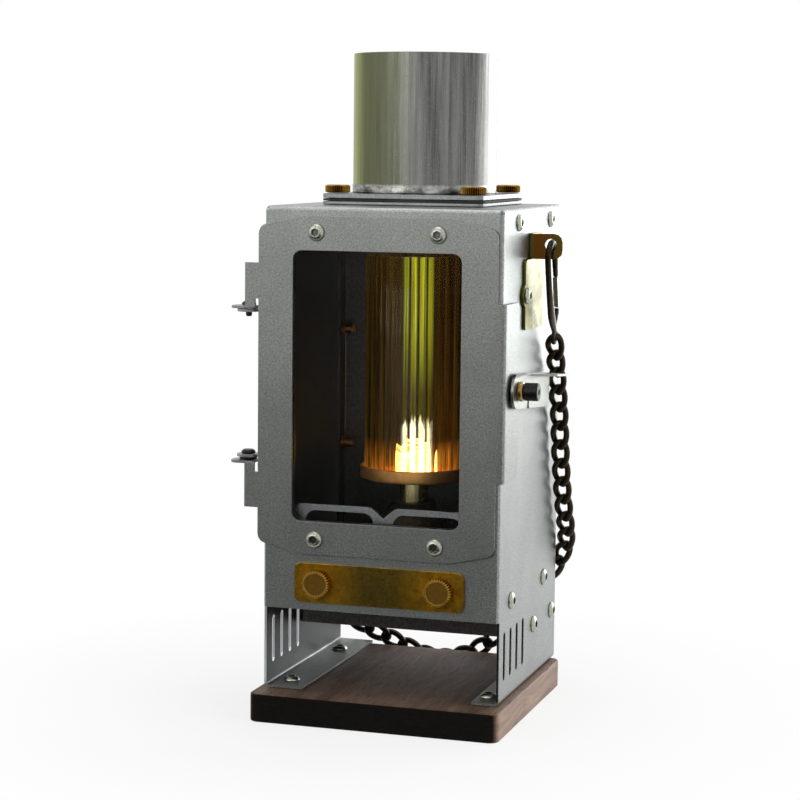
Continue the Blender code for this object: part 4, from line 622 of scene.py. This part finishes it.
def button_head(radius, height, socket, depth):
    """Dome on a short rim, with a hexagon socket. Its seat is at z = 0."""
    rings = []
    dome = ((0.94, 0.0), (1.0, 0.06), (1.0, 0.16), (0.94, 0.40), (0.84, 0.66), (0.70, 0.86), (0.58, 0.96))
    for share, level in dome:
        spot = radius * share
        rings.append([(spot * c, spot * s, height * level, 0.0) for _, c, s in around(48)])
    # The fourth number of each socket ring is its share of painted shade.
    for reach, level, socket_shade in ((1.10, height, 0.0), (1.0, height * 0.96, 1.0), (1.0, height - depth, 0.75)):
        ring = []
        for turn, c, s in around(48):
            wedge = (turn + math.pi / 6) % (math.pi / 3) - math.pi / 6
            spot = socket * reach * math.cos(math.pi / 6) / math.cos(wedge)
            ring.append((spot * c, spot * s, level, socket_shade))
        rings.append(ring)
    return lofted("button head", rings, 38, mark="socket_shade")


head_height = 0.0022
screw_steel = bright_screw_steel()
button = button_head(radius=0.0038, height=0.0017, socket=0.0018, depth=0.0010)
foot_names = [f"foot_screw_{number}" for number in (1, 2, 3, 4)]
case_places = screw_seats(foot_names, head_height, "Z", 1)
case_places += screw_seats(["bracket_screw_right"], head_height, "X", 1)
case_places += screw_seats(["bracket_screw_left"], head_height, "X", -1)
seat_gap = 0.0001
# Height of each row of side screws, and their places from front to back
side_rows = ((0.2252, (-0.0276, 0.0304)), (0.0573, (-0.0316, 0.0277)), (0.0383, (0.0097, 0.0439)))
for level, depths in side_rows:
    for deep in depths:
        for side, face in ((-1, shell_low.x), (1, shell_high.x)):
            case_places.append((Vector((face + side * seat_gap, deep, level)), Vector((side, 0, 0))))
case_screws = instanced("case_button_screws", button, case_places, screw_steel)
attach(case_screws, "case")
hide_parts("bracket_screw_right", "bracket_screw_left", *foot_names)

nut_length = 0.0062
nut_profile = [
    (0, 0),
    (0.0026, 0),
    (0.0030, 0.0004),
    (0.0030, 0.0012),
    (0.0024, 0.0016),
    (0.0024, nut_length - 0.0006),
    (0.0020, nut_length),
    (0, nut_length),
]
nut_mesh = turned_mesh("rivet nut", nut_profile, 28, 30, closed=False)
copper = brass_finish("copper_plated_nuts", (0.32, 0.12, 0.05), (0.62, 0.30, 0.16), 0.30, 0.35)
panel_low, panel_high = corners_of("rear_panel")
nut_levels = (0.1694, 0.1134)
nut_inset = 0.0052
behind_flange = 0.0013
nut_places = []
for level in nut_levels:
    for side, face in ((-1, panel_low.x), (1, panel_high.x)):
        place = Vector((face - side * behind_flange, panel_high.y - nut_inset, level))
        nut_places.append((place, Vector((-side, 0, 0))))
rivet_nuts = instanced("rear_rivet_nuts", nut_mesh, nut_places, copper)
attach(rivet_nuts, "case")

door_names = [f"door_screw_{number}" for number in (1, 2, 3, 4)]
door_places = screw_seats(door_names, head_height, "Y", -1)
door_screws = instanced("door_button_screws", button, door_places, screw_steel)
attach(door_screws, "door")
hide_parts(*door_names)

# Door
#
# A flat steel plate with sloped shoulders, two folded hinge ears and a fold round the latch side. The pane
# lies behind its window in a black gasket and is clamped by a thin steel retainer.

door_steel = tumbled_steel("tumbled_door_steel", (0.205, 0.214, 0.208), (0.385, 0.395, 0.375), 0.40)
softened("arched_door", "door_plate", "door", door_steel, "shell_steel", edge=0.00028)


def window_pane():
    pane = Finish("clear_pane")
    smear = pane.spread(pane.noise((30, 30, 18)), 0.45, 0.75, 0.0, 0.03)
    others = {"Transmission Weight": 1.0, "IOR": 1.10, "Specular IOR Level": 0.25}
    return pane.done((0.95, 0.97, 0.96, 1), smear, others=others)


# The retainer takes the guard's darker colour, which is painted shade.
dress(guard_steel_painted_shade, "window_retainer")
dress(window_pane(), "window_glass")

# Hinges
#
# Two small steel angles on the left side carry the door's ears on vertical black bolts. The lower one has a
# dark washer between the ear and the angle.


def black_oxide(
    name="black_oxide_steel", dark=(0.008, 0.008, 0.009), light=(0.030, 0.029, 0.028), roughness=0.34
):
    oxide = Finish(name)
    fine = oxide.noise(1300, 3.0, 0.65)
    worn = oxide.noise(260)
    colour = oxide.mix(oxide.spread(fine, 0.35, 0.65), dark, light)
    colour = oxide.mix(oxide.spread(worn, 0.58, 0.72, 0.0, 0.5), colour, scaled(light, 2.2))
    rough = oxide.spread(fine, 0.3, 0.7, roughness, roughness + 0.14)
    return oxide.done(colour, rough, fine, 0.00005, {"Metallic": 0.85})


oxide = black_oxide()
softened("upper_hinge_angle", "hinge_bracket_upper", "case", shell_steel, "shell_steel")
softened("lower_hinge_angle", "hinge_bracket_lower", "case", shell_steel, "shell_steel")
dress(oxide, "hinge_bolt_upper", "hinge_bolt_lower", "hinge_washer_lower", "catch_stud", "latch_spacer")

# Latch
#
# A steel lever with a notch and a folded thumb tab, turning on a black cap screw through a brass bush. The
# notch drops over a stud on the side of the box.

tab_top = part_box("latch_lever")[1][2]


# Painted shade: the upper part of the thumb tab is coloured nearly black.
def tab_painted_shade(steel, colour):
    on_tab = steel.spread(steel.along("Z"), tab_top - 0.0022, tab_top - 0.0012)
    return steel.mix(on_tab, colour, (0.035, 0.032, 0.026))


latch_steel = tumbled_steel(
    "latch_lever_steel", (0.26, 0.27, 0.25), (0.42, 0.44, 0.40), 0.34, 1900.0, tab_painted_shade
)
softened("latch_arm", "latch_lever", "latch", latch_steel, "shell_steel")
softened("latch_cap_screw", "latch_knob", "door", oxide, "black_oxide", edge=0.0003)
bush_brass = brass_finish("bush_brass", (0.30, 0.17, 0.06), (0.55, 0.36, 0.15), 0.26, 0.3)
softened("latch_brass_bush", "latch_bush", "door", bush_brass, "brass", edge=0.0003)

# Nameplate
#
# A bare brass plate with rounded corners, warm orange with darker patches and a fine brushed grain, held on
# the front by the two wider knurled screws. It is rubbed bright round them.


def rubbed_ends(brass, colour):
    nearest = 1.0
    for spot, _ in thumb_places:
        nearest = brass.math("MINIMUM", nearest, brass.vector("DISTANCE", brass.place, spot, "Value"))
    patchy = brass.spread(brass.noise(420), 0.35, 0.60, 0.35, 1.0)
    rubbed = brass.times(brass.spread(nearest, 0.007, 0.021, 0.85, 0.0), patchy)
    return brass.mix(rubbed, colour, (0.62, 0.29, 0.012))


plate_brass = brass_finish(
    "nameplate_brass", (0.120, 0.082, 0.018), (0.340, 0.215, 0.030), 0.36, 0.65, 900.0, rubbed_ends
)
softened("bare_nameplate", "nameplate", "case", plate_brass, "brass")

# Chain brackets
#
# Brass plates screwed high on both sides, each with an ear folded outwards and drilled for the snap hook.
# The plates have gone olive. The ears are painted a darker brown, which is painted shade.


# Painted shade: the folded-out ears are coloured a darker brown than the plates.
def ears_painted_shade(brass, colour):
    outward = brass.math("ABSOLUTE", brass.along("X"))
    ear = brass.mix(brass.spread(outward, 0.058, 0.068), (0.230, 0.085, 0.016), (0.105, 0.070, 0.012))
    return brass.mix(brass.spread(outward, 0.0568, 0.0576), colour, ear)


bracket_brass = brass_finish(
    "bracket_brass", (0.100, 0.090, 0.012), (0.240, 0.230, 0.050), 0.30, 0.50, over=ears_painted_shade
)
for word in ("left", "right"):
    softened(f"brass_bracket_{word}", f"chain_bracket_{word}", "case", bracket_brass, "brass")

# Snap hooks and chain
#
# Die-cast snap hooks in dark bronze with sprung steel gates, and a curb chain of twisted links between them
# that hangs round the back of the case.

bronze = black_oxide("dark_bronze", (0.008, 0.0055, 0.003), (0.040, 0.028, 0.013), 0.32)
gate_steel = black_oxide("gate_steel", (0.30, 0.31, 0.24), (0.52, 0.54, 0.44), 0.24)
ear_hole = Vector((0.0650, -0.0084, 0.2149))
hook_slant = math.radians(29.0)
hook_lean = math.radians(4.6)
hook_length = 0.0500
hook_lift = 0.00045
bend = 0.00575
eye_middle, eye_wire = 0.00272, 0.00098

# Stations of the hook's bars: y, z, half width and half thickness
claw_stations = [
    (bend, -0.0206, 0.0008, 0.0008),
    (bend, -0.0202, 0.0012, 0.0012),
    (bend, -0.0150, 0.0013, 0.0013),
    (bend, -0.0100, 0.0014, 0.0014),
    *[(bend * math.cos(t), bend * math.sin(t) - bend, 0.0014, 0.0014) for t in np.linspace(0, math.pi, 13)],
    (-bend, -0.0110, 0.0014, 0.0014),
    (-0.00570, -0.0160, 0.00145, 0.0014),
    (-0.00545, -0.0205, 0.0017, 0.0014),
    (-0.00500, -0.0245, 0.0021, 0.00145),
    (-0.00430, -0.0295, 0.0028, 0.0015),
    (-0.00370, -0.0355, 0.0030, 0.0015),
    (-0.00240, -0.0398, 0.0028, 0.0014),
    (-0.00100, -0.0434, 0.0023, 0.0013),
    (-0.00020, -0.0462, 0.0018, 0.0011),
    (0.0, -0.0475, 0.0014, 0.0010),
]
stub_stations = [
    (0.0002, -0.0432, 0.0016, 0.0013),
    (0.0028, -0.0410, 0.0018, 0.0013),
    (0.0048, -0.0392, 0.0016, 0.0013),
    (0.0056, -0.0384, 0.0012, 0.0012),
    (0.0058, -0.0379, 0.0007, 0.0009),
]


def hook_place(side):
    """Where a hook hangs: local X is its thickness, Y points to the back, Z up along it to the ear."""
    lean = Matrix.Rotation(hook_lean, 4, "Y")
    slant = Matrix.Rotation(hook_slant, 4, "X")
    right = Matrix.Translation(ear_hole) @ lean @ slant @ Matrix.Translation((0, 0, hook_lift))
    return Matrix.Scale(side, 4, (1, 0, 0)) @ right


def hook_eye(side):
    """Middle of the eye at a hook's lower end."""
    return hook_place(side) @ Vector((0, 0, -hook_length))


def swept_bar(stations):
    """Closed oval bar along its stations."""
    rings = []
    centres = [Vector((0, y, z)) for y, z, _, _ in stations]
    for index, (_, _, wide, thick) in enumerate(stations):
        ahead = centres[min(index + 1, len(centres) - 1)] - centres[max(index - 1, 0)]
        across = Vector((0, -ahead.z, ahead.y)).normalized()
        middle = centres[index]
        rings.append([middle + across * (wide * c) + Vector((thick * s, 0, 0)) for _, c, s in around(20)])
    return lofted("bar", rings, 30)


def cast_hook(name, side):
    """Die-cast hook: a round claw that swells into a flat body, a stub for the gate and an eye, fused."""
    eye = turned_mesh(name, [(eye_middle + eye_wire * c, eye_wire * s) for _, c, s in around(16)], 32, 30)
    eye.transform(Matrix.Translation((0, 0, -hook_length)) @ Matrix.Rotation(math.pi / 2, 4, "Y"))
    work = bmesh.new()
    for part in (swept_bar(claw_stations), swept_bar(stub_stations), eye):
        work.from_mesh(part)
    bmesh.ops.recalc_face_normals(work, faces=work.faces)
    hook = object_of(name, mesh_from(name, work), bronze)
    having(hook.modifiers.new("fused", "REMESH"), mode="VOXEL", voxel_size=0.00026)
    having(hook.modifiers.new("eased", "SMOOTH"), iterations=4)
    mesh = plain_copy(hook, name)
    bpy.data.objects.remove(hook)
    mesh.transform(hook_place(side))
    if side < 0:
        mesh.flip_normals()
    mesh.shade_smooth()
    return object_of(name, mesh, bronze)


for word, side in (("left", -1), ("right", 1)):
    hook = cast_hook(f"bronze_hook_{word}", side)
    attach(hook, "chain_bail")
    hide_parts(f"snap_hook_{word}")
    gate = (f"sprung_gate_{word}", f"hook_gate_{word}", f"gate_{word}")
    softened(*gate, gate_steel, "screw_steel", edge=0.0005, crease=50)

chain_wire = 0.0029
chain_width = 0.0092
chain_pitch = 0.0094
chain_twist = math.radians(42)
link_clearance = 0.00015
side_shift = 0.0003

# The chain's course from the right hook round the back to the left one
chain_route = [
    (0.0605, 0.0230, 0.158),
    (0.0602, 0.0275, 0.148),
    (0.0600, 0.0318, 0.138),
    (0.0600, 0.0345, 0.128),
    (0.0600, 0.0368, 0.115),
    (0.0600, 0.0400, 0.103),
    (0.0601, 0.0435, 0.092),
    (0.0602, 0.0480, 0.081),
    (0.0597, 0.0545, 0.071),
    (0.0560, 0.0590, 0.062),
    (0.0490, 0.0600, 0.051),
    (0.0380, 0.0600, 0.036),
    (0.0224, 0.0600, 0.0192),
    (0.0119, 0.0600, 0.0109),
    (-0.0050, 0.0600, 0.0066),
    (-0.0189, 0.0600, 0.0104),
    (-0.0304, 0.0600, 0.0151),
    (-0.0403, 0.0600, 0.0188),
    (-0.0505, 0.0600, 0.0240),
    (-0.0568, 0.0592, 0.0325),
    (-0.0602, 0.0568, 0.0425),
    (-0.0607, 0.0532, 0.0535),
    (-0.0604, 0.0490, 0.0650),
    (-0.0602, 0.0448, 0.0790),
    (-0.0600, 0.0395, 0.0980),
    (-0.0600, 0.0362, 0.1170),
    (-0.0600, 0.0325, 0.1350),
    (-0.0605, 0.0260, 0.1530),
]


def curb_chain_tree():
    """Tree that turns a line of meeting points into twisted oval links, one for each stretch of the line."""
    kinds = dict.fromkeys(("Half Length", "Half Width", "Wire Radius", "Twist"), "Float")
    tree, entry, keys = node_group("curb chain", {"Line": "Geometry", **kinds, "Finish": "Material"})

    def calculated(operation, first, second=0.0):
        return put(tree, "Math", {0: first, 1: second}, operation=operation).outputs[0]

    where = put(tree, "GeometryNodeInputPosition").outputs[0]
    along, across, _ = put(tree, "SeparateXYZ", {0: where}).outputs
    bulge = calculated("POWER", calculated("ABSOLUTE", across), 0.75)
    bulge = calculated("MULTIPLY", calculated("SIGN", across), bulge)
    half_width = calculated("MULTIPLY", bulge, entry["Half Width"])
    twist = calculated("MULTIPLY", along, entry["Twist"])
    shape = put(tree, "CombineXYZ", {
        "X": calculated("MULTIPLY", along, entry["Half Length"]),
        "Y": calculated("MULTIPLY", half_width, calculated("COSINE", twist)),
        "Z": calculated("MULTIPLY", half_width, calculated("SINE", twist)),
    }).outputs[0]
    ring = put(tree, "GeometryNodeCurvePrimitiveCircle", {"Resolution": 28, "Radius": 1.0}).outputs["Curve"]
    ring = put(tree, "GeometryNodeSetPosition", {"Geometry": ring, "Position": shape}).outputs["Geometry"]
    wire = put(tree, "GeometryNodeCurvePrimitiveCircle", {"Resolution": 12, "Radius": entry["Wire Radius"]})
    link = put(tree, "GeometryNodeCurveToMesh", {"Curve": ring, "Profile Curve": wire.outputs["Curve"]})
    ends = put(tree, "GeometryNodeInputMeshEdgeVertices").outputs
    run = put(tree, "VectorMath", {0: ends["Position 2"], 1: ends["Position 1"]}, operation="SUBTRACT")
    kept = put(tree, "GeometryNodeCaptureAttribute", domain="EDGE")
    kept.capture_items.new("VECTOR", "Run")
    feed(tree, kept, {"Geometry": entry["Line"], "Run": run.outputs[0]})
    spots = put(tree, "GeometryNodeMeshToPoints", {"Mesh": kept.outputs["Geometry"]}, mode="EDGES")
    lengthwise = put(tree, "FunctionNodeAlignRotationToVector", {"Vector": kept.outputs["Run"]}, axis="X")
    inputs = {"Rotation": lengthwise.outputs["Rotation"], "Vector": (0, 1, 0)}
    flat = put(tree, "FunctionNodeAlignRotationToVector", inputs, axis="Z", pivot_axis="X")
    realized_copies(tree, entry["Finish"], {
        "Points": spots.outputs["Points"],
        "Instance": link.outputs["Mesh"],
        "Rotation": flat.outputs["Rotation"],
    })
    return tree, keys


def chain_meeting_points():
    """Points at equal steps along a smooth curve through the route, one where each pair of links meets."""
    drop = Vector((0, 0, chain_wire / 4))
    route = [Vector((x + math.copysign(side_shift, x), y, z)) for x, y, z in chain_route]
    knots = [hook_eye(1) - drop] + route + [hook_eye(-1) - drop]
    fine = [knots[0]]
    for index in range(len(knots) - 1):
        before = knots[max(index - 1, 0)]
        after = knots[min(index + 2, len(knots) - 1)]
        here, there = knots[index], knots[index + 1]
        first = here + (there - before) / 6
        second = there - (after - here) / 6
        for t in np.linspace(0, 1, 24)[1:]:
            point = here * (1 - t) ** 3 + first * 3 * t * (1 - t) ** 2
            fine.append(point + second * 3 * t * t * (1 - t) + there * t ** 3)
    lengths = [(b - a).length for a, b in zip(fine, fine[1:])]
    count = round(sum(lengths) / chain_pitch)
    step = sum(lengths) / count
    points = [fine[0]]
    travelled = 0.0
    for a, b, length in zip(fine, fine[1:], lengths):
        while travelled + length >= step * len(points) - 1e-9 and len(points) < count:
            points.append(a.lerp(b, (step * len(points) - travelled) / length))
        travelled += length
    return points + [fine[-1]], step


meeting_points, chain_step = chain_meeting_points()
line = bpy.data.meshes.new("chain line")
line.from_pydata(meeting_points, [(index, index + 1) for index in range(len(meeting_points) - 1)], [])
chain_tree, chain_keys = curb_chain_tree()
links_mesh = grown("curb_chain", line, chain_tree, {
    chain_keys["Half Length"]: chain_step / 2 + chain_wire / 2 - link_clearance,
    chain_keys["Half Width"]: (chain_width - chain_wire) / 2,
    chain_keys["Wire Radius"]: chain_wire / 2,
    chain_keys["Twist"]: chain_twist,
    chain_keys["Finish"]: bronze,
})
links = object_of("curb_chain", smooth_shaded(links_mesh, 60), bronze)
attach(links, "chain_bail")
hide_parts("chain")

# Lamp
#
# A black turned foot, a small steel collar, a brass gallery, and in it a fluted amber glass over a warm
# light. The whole lamp stands loose on the floor, and the glass lifts out of the gallery.

glass_low, glass_high = corners_of("fluted_glass")
lamp_place = Matrix.Translation(((glass_low.x + glass_high.x) / 2, (glass_low.y + glass_high.y) / 2, 0))
dress(black_oxide("bronzed_black_foot", (0.022, 0.016, 0.009), (0.060, 0.045, 0.026), 0.45), "lamp_base")
collar_brass = brass_finish("bright_collar_brass", (0.62, 0.50, 0.24), (0.85, 0.74, 0.42), 0.20, 0.2, 1500.0)
dress(collar_brass, "lamp_collar")

gallery_brass = brass_finish("gallery_brass", (0.50, 0.240, 0.070), (0.72, 0.380, 0.130), 0.55, 0.2, 1500.0)
ring_low, ring_high = corners_of("gallery_ring")
ring_radius = (ring_high.x - ring_low.x) / 2
glass_radius = (glass_high.x - glass_low.x) / 2
rim_inner = glass_radius + 0.0003
lip = 0.0003
gallery_floor = ring_low.z + 0.0015
gallery_profile = [
    (0, ring_low.z),
    (ring_radius - 0.0016, ring_low.z),
    (ring_radius - 0.0004, ring_low.z + 0.0005),
    (ring_radius, gallery_floor),
    (ring_radius, ring_high.z - lip),
    (ring_radius - lip, ring_high.z),
    (rim_inner + lip, ring_high.z),
    (rim_inner, ring_high.z - lip),
    (rim_inner, gallery_floor),
    (0, gallery_floor),
]
gallery_mesh = turned_mesh("brass_gallery", gallery_profile, 96, 35, closed=False)
gallery_mesh.transform(lamp_place)
gallery = object_of("brass_gallery", gallery_mesh, gallery_brass)
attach(gallery, "lamp")
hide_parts("gallery_ring")

flute_count = 36
flute_depth = 0.0006
glass_wall = 0.0020
end_round = 0.0006


def fluted_amber():
    """Amber glass with painted light in its emission: a painted glow at the foot, painted glints, a painted
    sheen, and a painted yellow-green reflection streak above.
    """
    glass = Finish("fluted_amber_glass")
    centred = glass.vector("SUBTRACT", glass.place, (*lamp_place.translation.xy, 0))
    turn = glass.math("ARCTAN2", glass.along("Y", centred), glass.along("X", centred))
    height = glass.along("Z")
    off_beam = glass.math("ABSOLUTE", glass.math("SUBTRACT", turn, math.radians(-70)))
    flute = glass.math("ABSOLUTE", glass.math("SINE", glass.times(turn, flute_count / 2)))
    streak = glass.noise((380, 380, 6), 2.0, 0.7)
    fine = glass.noise((1500, 1500, 12), 2.0, 0.6)
    lines = glass.times(glass.spread(flute, 0.20, 0.85), glass.spread(fine, 0.40, 0.58, 0.15, 1.0))
    beam = glass.times(glass.spread(off_beam, 0.21, 0.34, 1.0, 0.0), lines)
    ragged = glass.noise((700, 700, 40), 2.0, 0.6)
    over = glass.math(
        "SUBTRACT", height, glass.spread(ragged, 0.3, 0.7, glass_low.z + 0.0235, glass_low.z + 0.0300)
    )
    glow_breakup = glass.spread(glass.noise((1300, 1300, 320), 2.0, 0.7), 0.38, 0.50, 0.35, 1.0)
    painted_glow = glass.times(glass.spread(over, -0.0012, 0.0006, 1.0, 0.0), beam, glow_breakup)
    rise = glass.spread(height, glass_low.z + 0.040, glass_high.z - 0.030, 0.14, 1.0)
    green = glass.times(beam, rise, glass.spread(streak, 0.3, 0.6, 0.5, 1.0))
    spike = glass.spread(glass.noise((520, 520, 26), 2.0, 0.7), 0.46, 0.70)
    near_foot = glass.spread(height, glass_low.z + 0.004, glass_low.z + 0.018, 1.0, 0.0)
    painted_glints = glass.times(spike, near_foot, glass.spread(off_beam, 0.35, 1.30, 1.0, 0.25))
    sheen = glass.times(glass.spread(streak, 0.48, 0.72), lines)
    # Painted light: the glass's emission adds a painted glow, painted glints, a painted sheen and a painted
    # green reflection streak on its front.
    glow = (0, 0, 0)
    for share, colour in (
        (green, (0.36, 0.40, 0.018)), (sheen, (0.060, 0.038, 0.004)), (painted_glints, (0.90, 0.30, 0.030))
    ):
        glow = glass.mix(1.0, glow, glass.mix(share, (0, 0, 0), colour), "ADD")
    seeds = glass.noise((900, 900, 30), 2.0, 0.6)
    amber = glass.mix(glass.spread(seeds, 0.36, 0.64), (0.50, 0.33, 0.10), (0.88, 0.66, 0.34))
    glow = glass.mix(painted_glow, glow, (1.9, 1.75, 1.10))
    others = {"Transmission Weight": 1.0, "IOR": 1.22, "Emission Color": glow, "Emission Strength": 1.0}
    return glass.done(amber, 0.02, others=others)


def fluted_tube(name, low, high, outer):
    """Glass tube with rounded vertical flutes outside, a plain bore and fire-rounded ends."""
    rings = []
    steps = around(flute_count * 6)
    for inset, level in ((0.6, low), (0, low + end_round), (0, high - end_round), (0.6, high)):
        ring = []
        for turn, c, s in steps:
            scallop = abs(math.cos(flute_count * turn / 2)) ** 0.8
            radius = outer - flute_depth * (1 - scallop) - inset * glass_wall * 0.5
            ring.append((radius * c, radius * s, level))
        rings.append(ring)
    bore = outer - glass_wall
    rings += [[(bore * c, bore * s, level) for _, c, s in steps] for level in (high, low)]
    return lofted(name, rings, 50, closed=True)


glass_mesh = fluted_tube("amber_flute_glass", glass_low.z, glass_high.z, glass_radius)
glass_mesh.transform(lamp_place)
glass = object_of("amber_flute_glass", glass_mesh, fluted_amber())
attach(glass, "lamp_glass")
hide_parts("fluted_glass")


def warm_light():
    light = Finish("warm_light")
    low, high = corners_of("lamp_emitter")
    glints = light.spread(light.noise((900, 900, 60), 2.0, 0.7), 0.42, 0.60, 0.12, 1.0)
    strength = light.times(glints, light.spread(light.along("Z"), low.z, high.z, 14.0, 6.0))
    others = {"Emission Color": (1.0, 0.66, 0.30, 1), "Emission Strength": strength}
    return light.done((1.0, 0.85, 0.6, 1), 0.5, others=others)


dress(warm_light(), "lamp_emitter")

# Studio
#
# White floor and background, a large soft light behind on the right that the side mirrors, a weaker one
# from the right, one above and one in front on the left, and two dark cards in front that the lower front
# mirrors.


def seen_directly(tree):
    """1 for rays from the camera, through glass or off a mirror, 0 for the rest."""
    rays = put(tree, "LightPath").outputs
    seen = put(tree, "Math", {0: rays["Is Camera Ray"], 1: rays["Is Transmission Ray"]}, operation="MAXIMUM")
    return put(tree, "Math", {0: seen.outputs[0], 1: rays["Is Glossy Ray"]}, operation="MAXIMUM").outputs[0]


def floor_finish():
    floor = Finish("studio_floor")
    far = floor.spread(floor.vector("LENGTH", floor.place, output="Value"), 0.09, 0.24, 0.80, 1.0)
    white = floor.put("Emission", {"Color": (1, 1, 1, 1), "Strength": 1.0}).outputs[0]
    share = floor.times(seen_directly(floor.tree), far)
    mixed = floor.put("MixShader", {0: share, 1: floor.shader.outputs[0], 2: white}).outputs[0]
    feed(floor.tree, floor.tree.nodes["Material Output"], {"Surface": mixed})
    return floor.done((0.86, 0.86, 0.86, 1), 0.9)


def flat_panel(name, corners, material):
    mesh = bpy.data.meshes.new(name)
    mesh.from_pydata(corners, [], [(0, 1, 2, 3)])
    panel = object_of(name, mesh, material)
    return panel


reach = 3.0
floor_corners = [(-reach, -reach, 0), (reach, -reach, 0), (reach, reach, 0), (-reach, reach, 0)]
flat_panel("floor", floor_corners, floor_finish())

dark_card = Finish("dark_card").done((0.02, 0.02, 0.02, 1), 1.0)
standing_card = [(-0.75, -0.62, 0.0), (0.45, -0.78, 0.0), (0.45, -0.78, 0.15), (-0.75, -0.62, 0.15)]
lying_card = [(-0.75, -0.62, 0.001), (0.45, -0.78, 0.001), (0.25, -0.11, 0.001), (-0.45, -0.11, 0.001)]
for name, corners in (("standing_card", standing_card), ("lying_card", lying_card)):
    card = having(flat_panel(name, corners, dark_card), visible_camera=False, visible_transmission=False)
    having(card, visible_diffuse=False, visible_shadow=False)

world = bpy.data.worlds.new("studio")
bpy.context.scene.world = world
world.use_nodes = True
sky = world.node_tree
strength = put(sky, "MapRange", {"Value": seen_directly(sky), "To Min": 0.22, "To Max": 1.0})
feed(sky, sky.nodes["Background"], {"Color": (1, 1, 1, 1), "Strength": strength.outputs["Result"]})


def soft_light(name, place, size, power, colour):
    """Rectangular light that shines on the middle of the case."""
    data = bpy.data.lights.new(name, "AREA")
    having(data, shape="RECTANGLE", size=size[0], size_y=size[1], energy=power, color=colour)
    light = having(linked(name, data), location=place, rotation_mode="QUATERNION", visible_camera=False)
    aim = Vector((0, 0, 0.15)) - Vector(place)
    return having(light, rotation_quaternion=aim.to_track_quat("-Z", "Y"))


soft_light("back right light", (0.75, 1.30, 0.40), (1.3, 0.9), 16.0, (0.98, 1.0, 1.0))
soft_light("right light", (1.0, -0.15, 0.50), (0.7, 0.9), 7.0, (1.0, 0.99, 0.97)).visible_glossy = False
soft_light("top light", (-0.1, 0.1, 1.3), (0.8, 0.8), 5.0, (1.0, 1.0, 1.0))
soft_light("front left light", (-0.55, -1.25, 0.62), (0.9, 0.5), 3.2, (0.97, 1.0, 0.93))

# Camera with the photograph's viewing angle: found from the box's edges in the photograph
camera_data = bpy.data.cameras.new("camera")
camera = linked("camera", camera_data)
bpy.context.scene.camera = camera
yaw, pitch, roll = 0.308686, 0.095678, 0.010274
forward = Vector((-math.sin(yaw) * math.cos(pitch), math.cos(yaw) * math.cos(pitch), -math.sin(pitch)))
right = Vector((math.cos(yaw), math.sin(yaw), 0))
up = right.cross(forward)
right, up = right * math.cos(roll) + up * math.sin(roll), up * math.cos(roll) - right * math.sin(roll)
turning = Matrix((right, up, -forward)).transposed()
camera.matrix_world = Matrix.Translation((0.303417, -0.988311, 0.259048)) @ turning.to_4x4()
pixels, focal_length, centre_x, centre_y = 800, 2248.405, 392, 360
having(camera_data, sensor_width=36.0, lens=36.0 * focal_length / pixels, clip_start=0.05, clip_end=20.0)
having(camera_data, shift_x=(pixels / 2 - centre_x) / pixels, shift_y=(centre_y - pixels / 2) / pixels)

bpy.context.scene.view_settings.view_transform = "Standard"
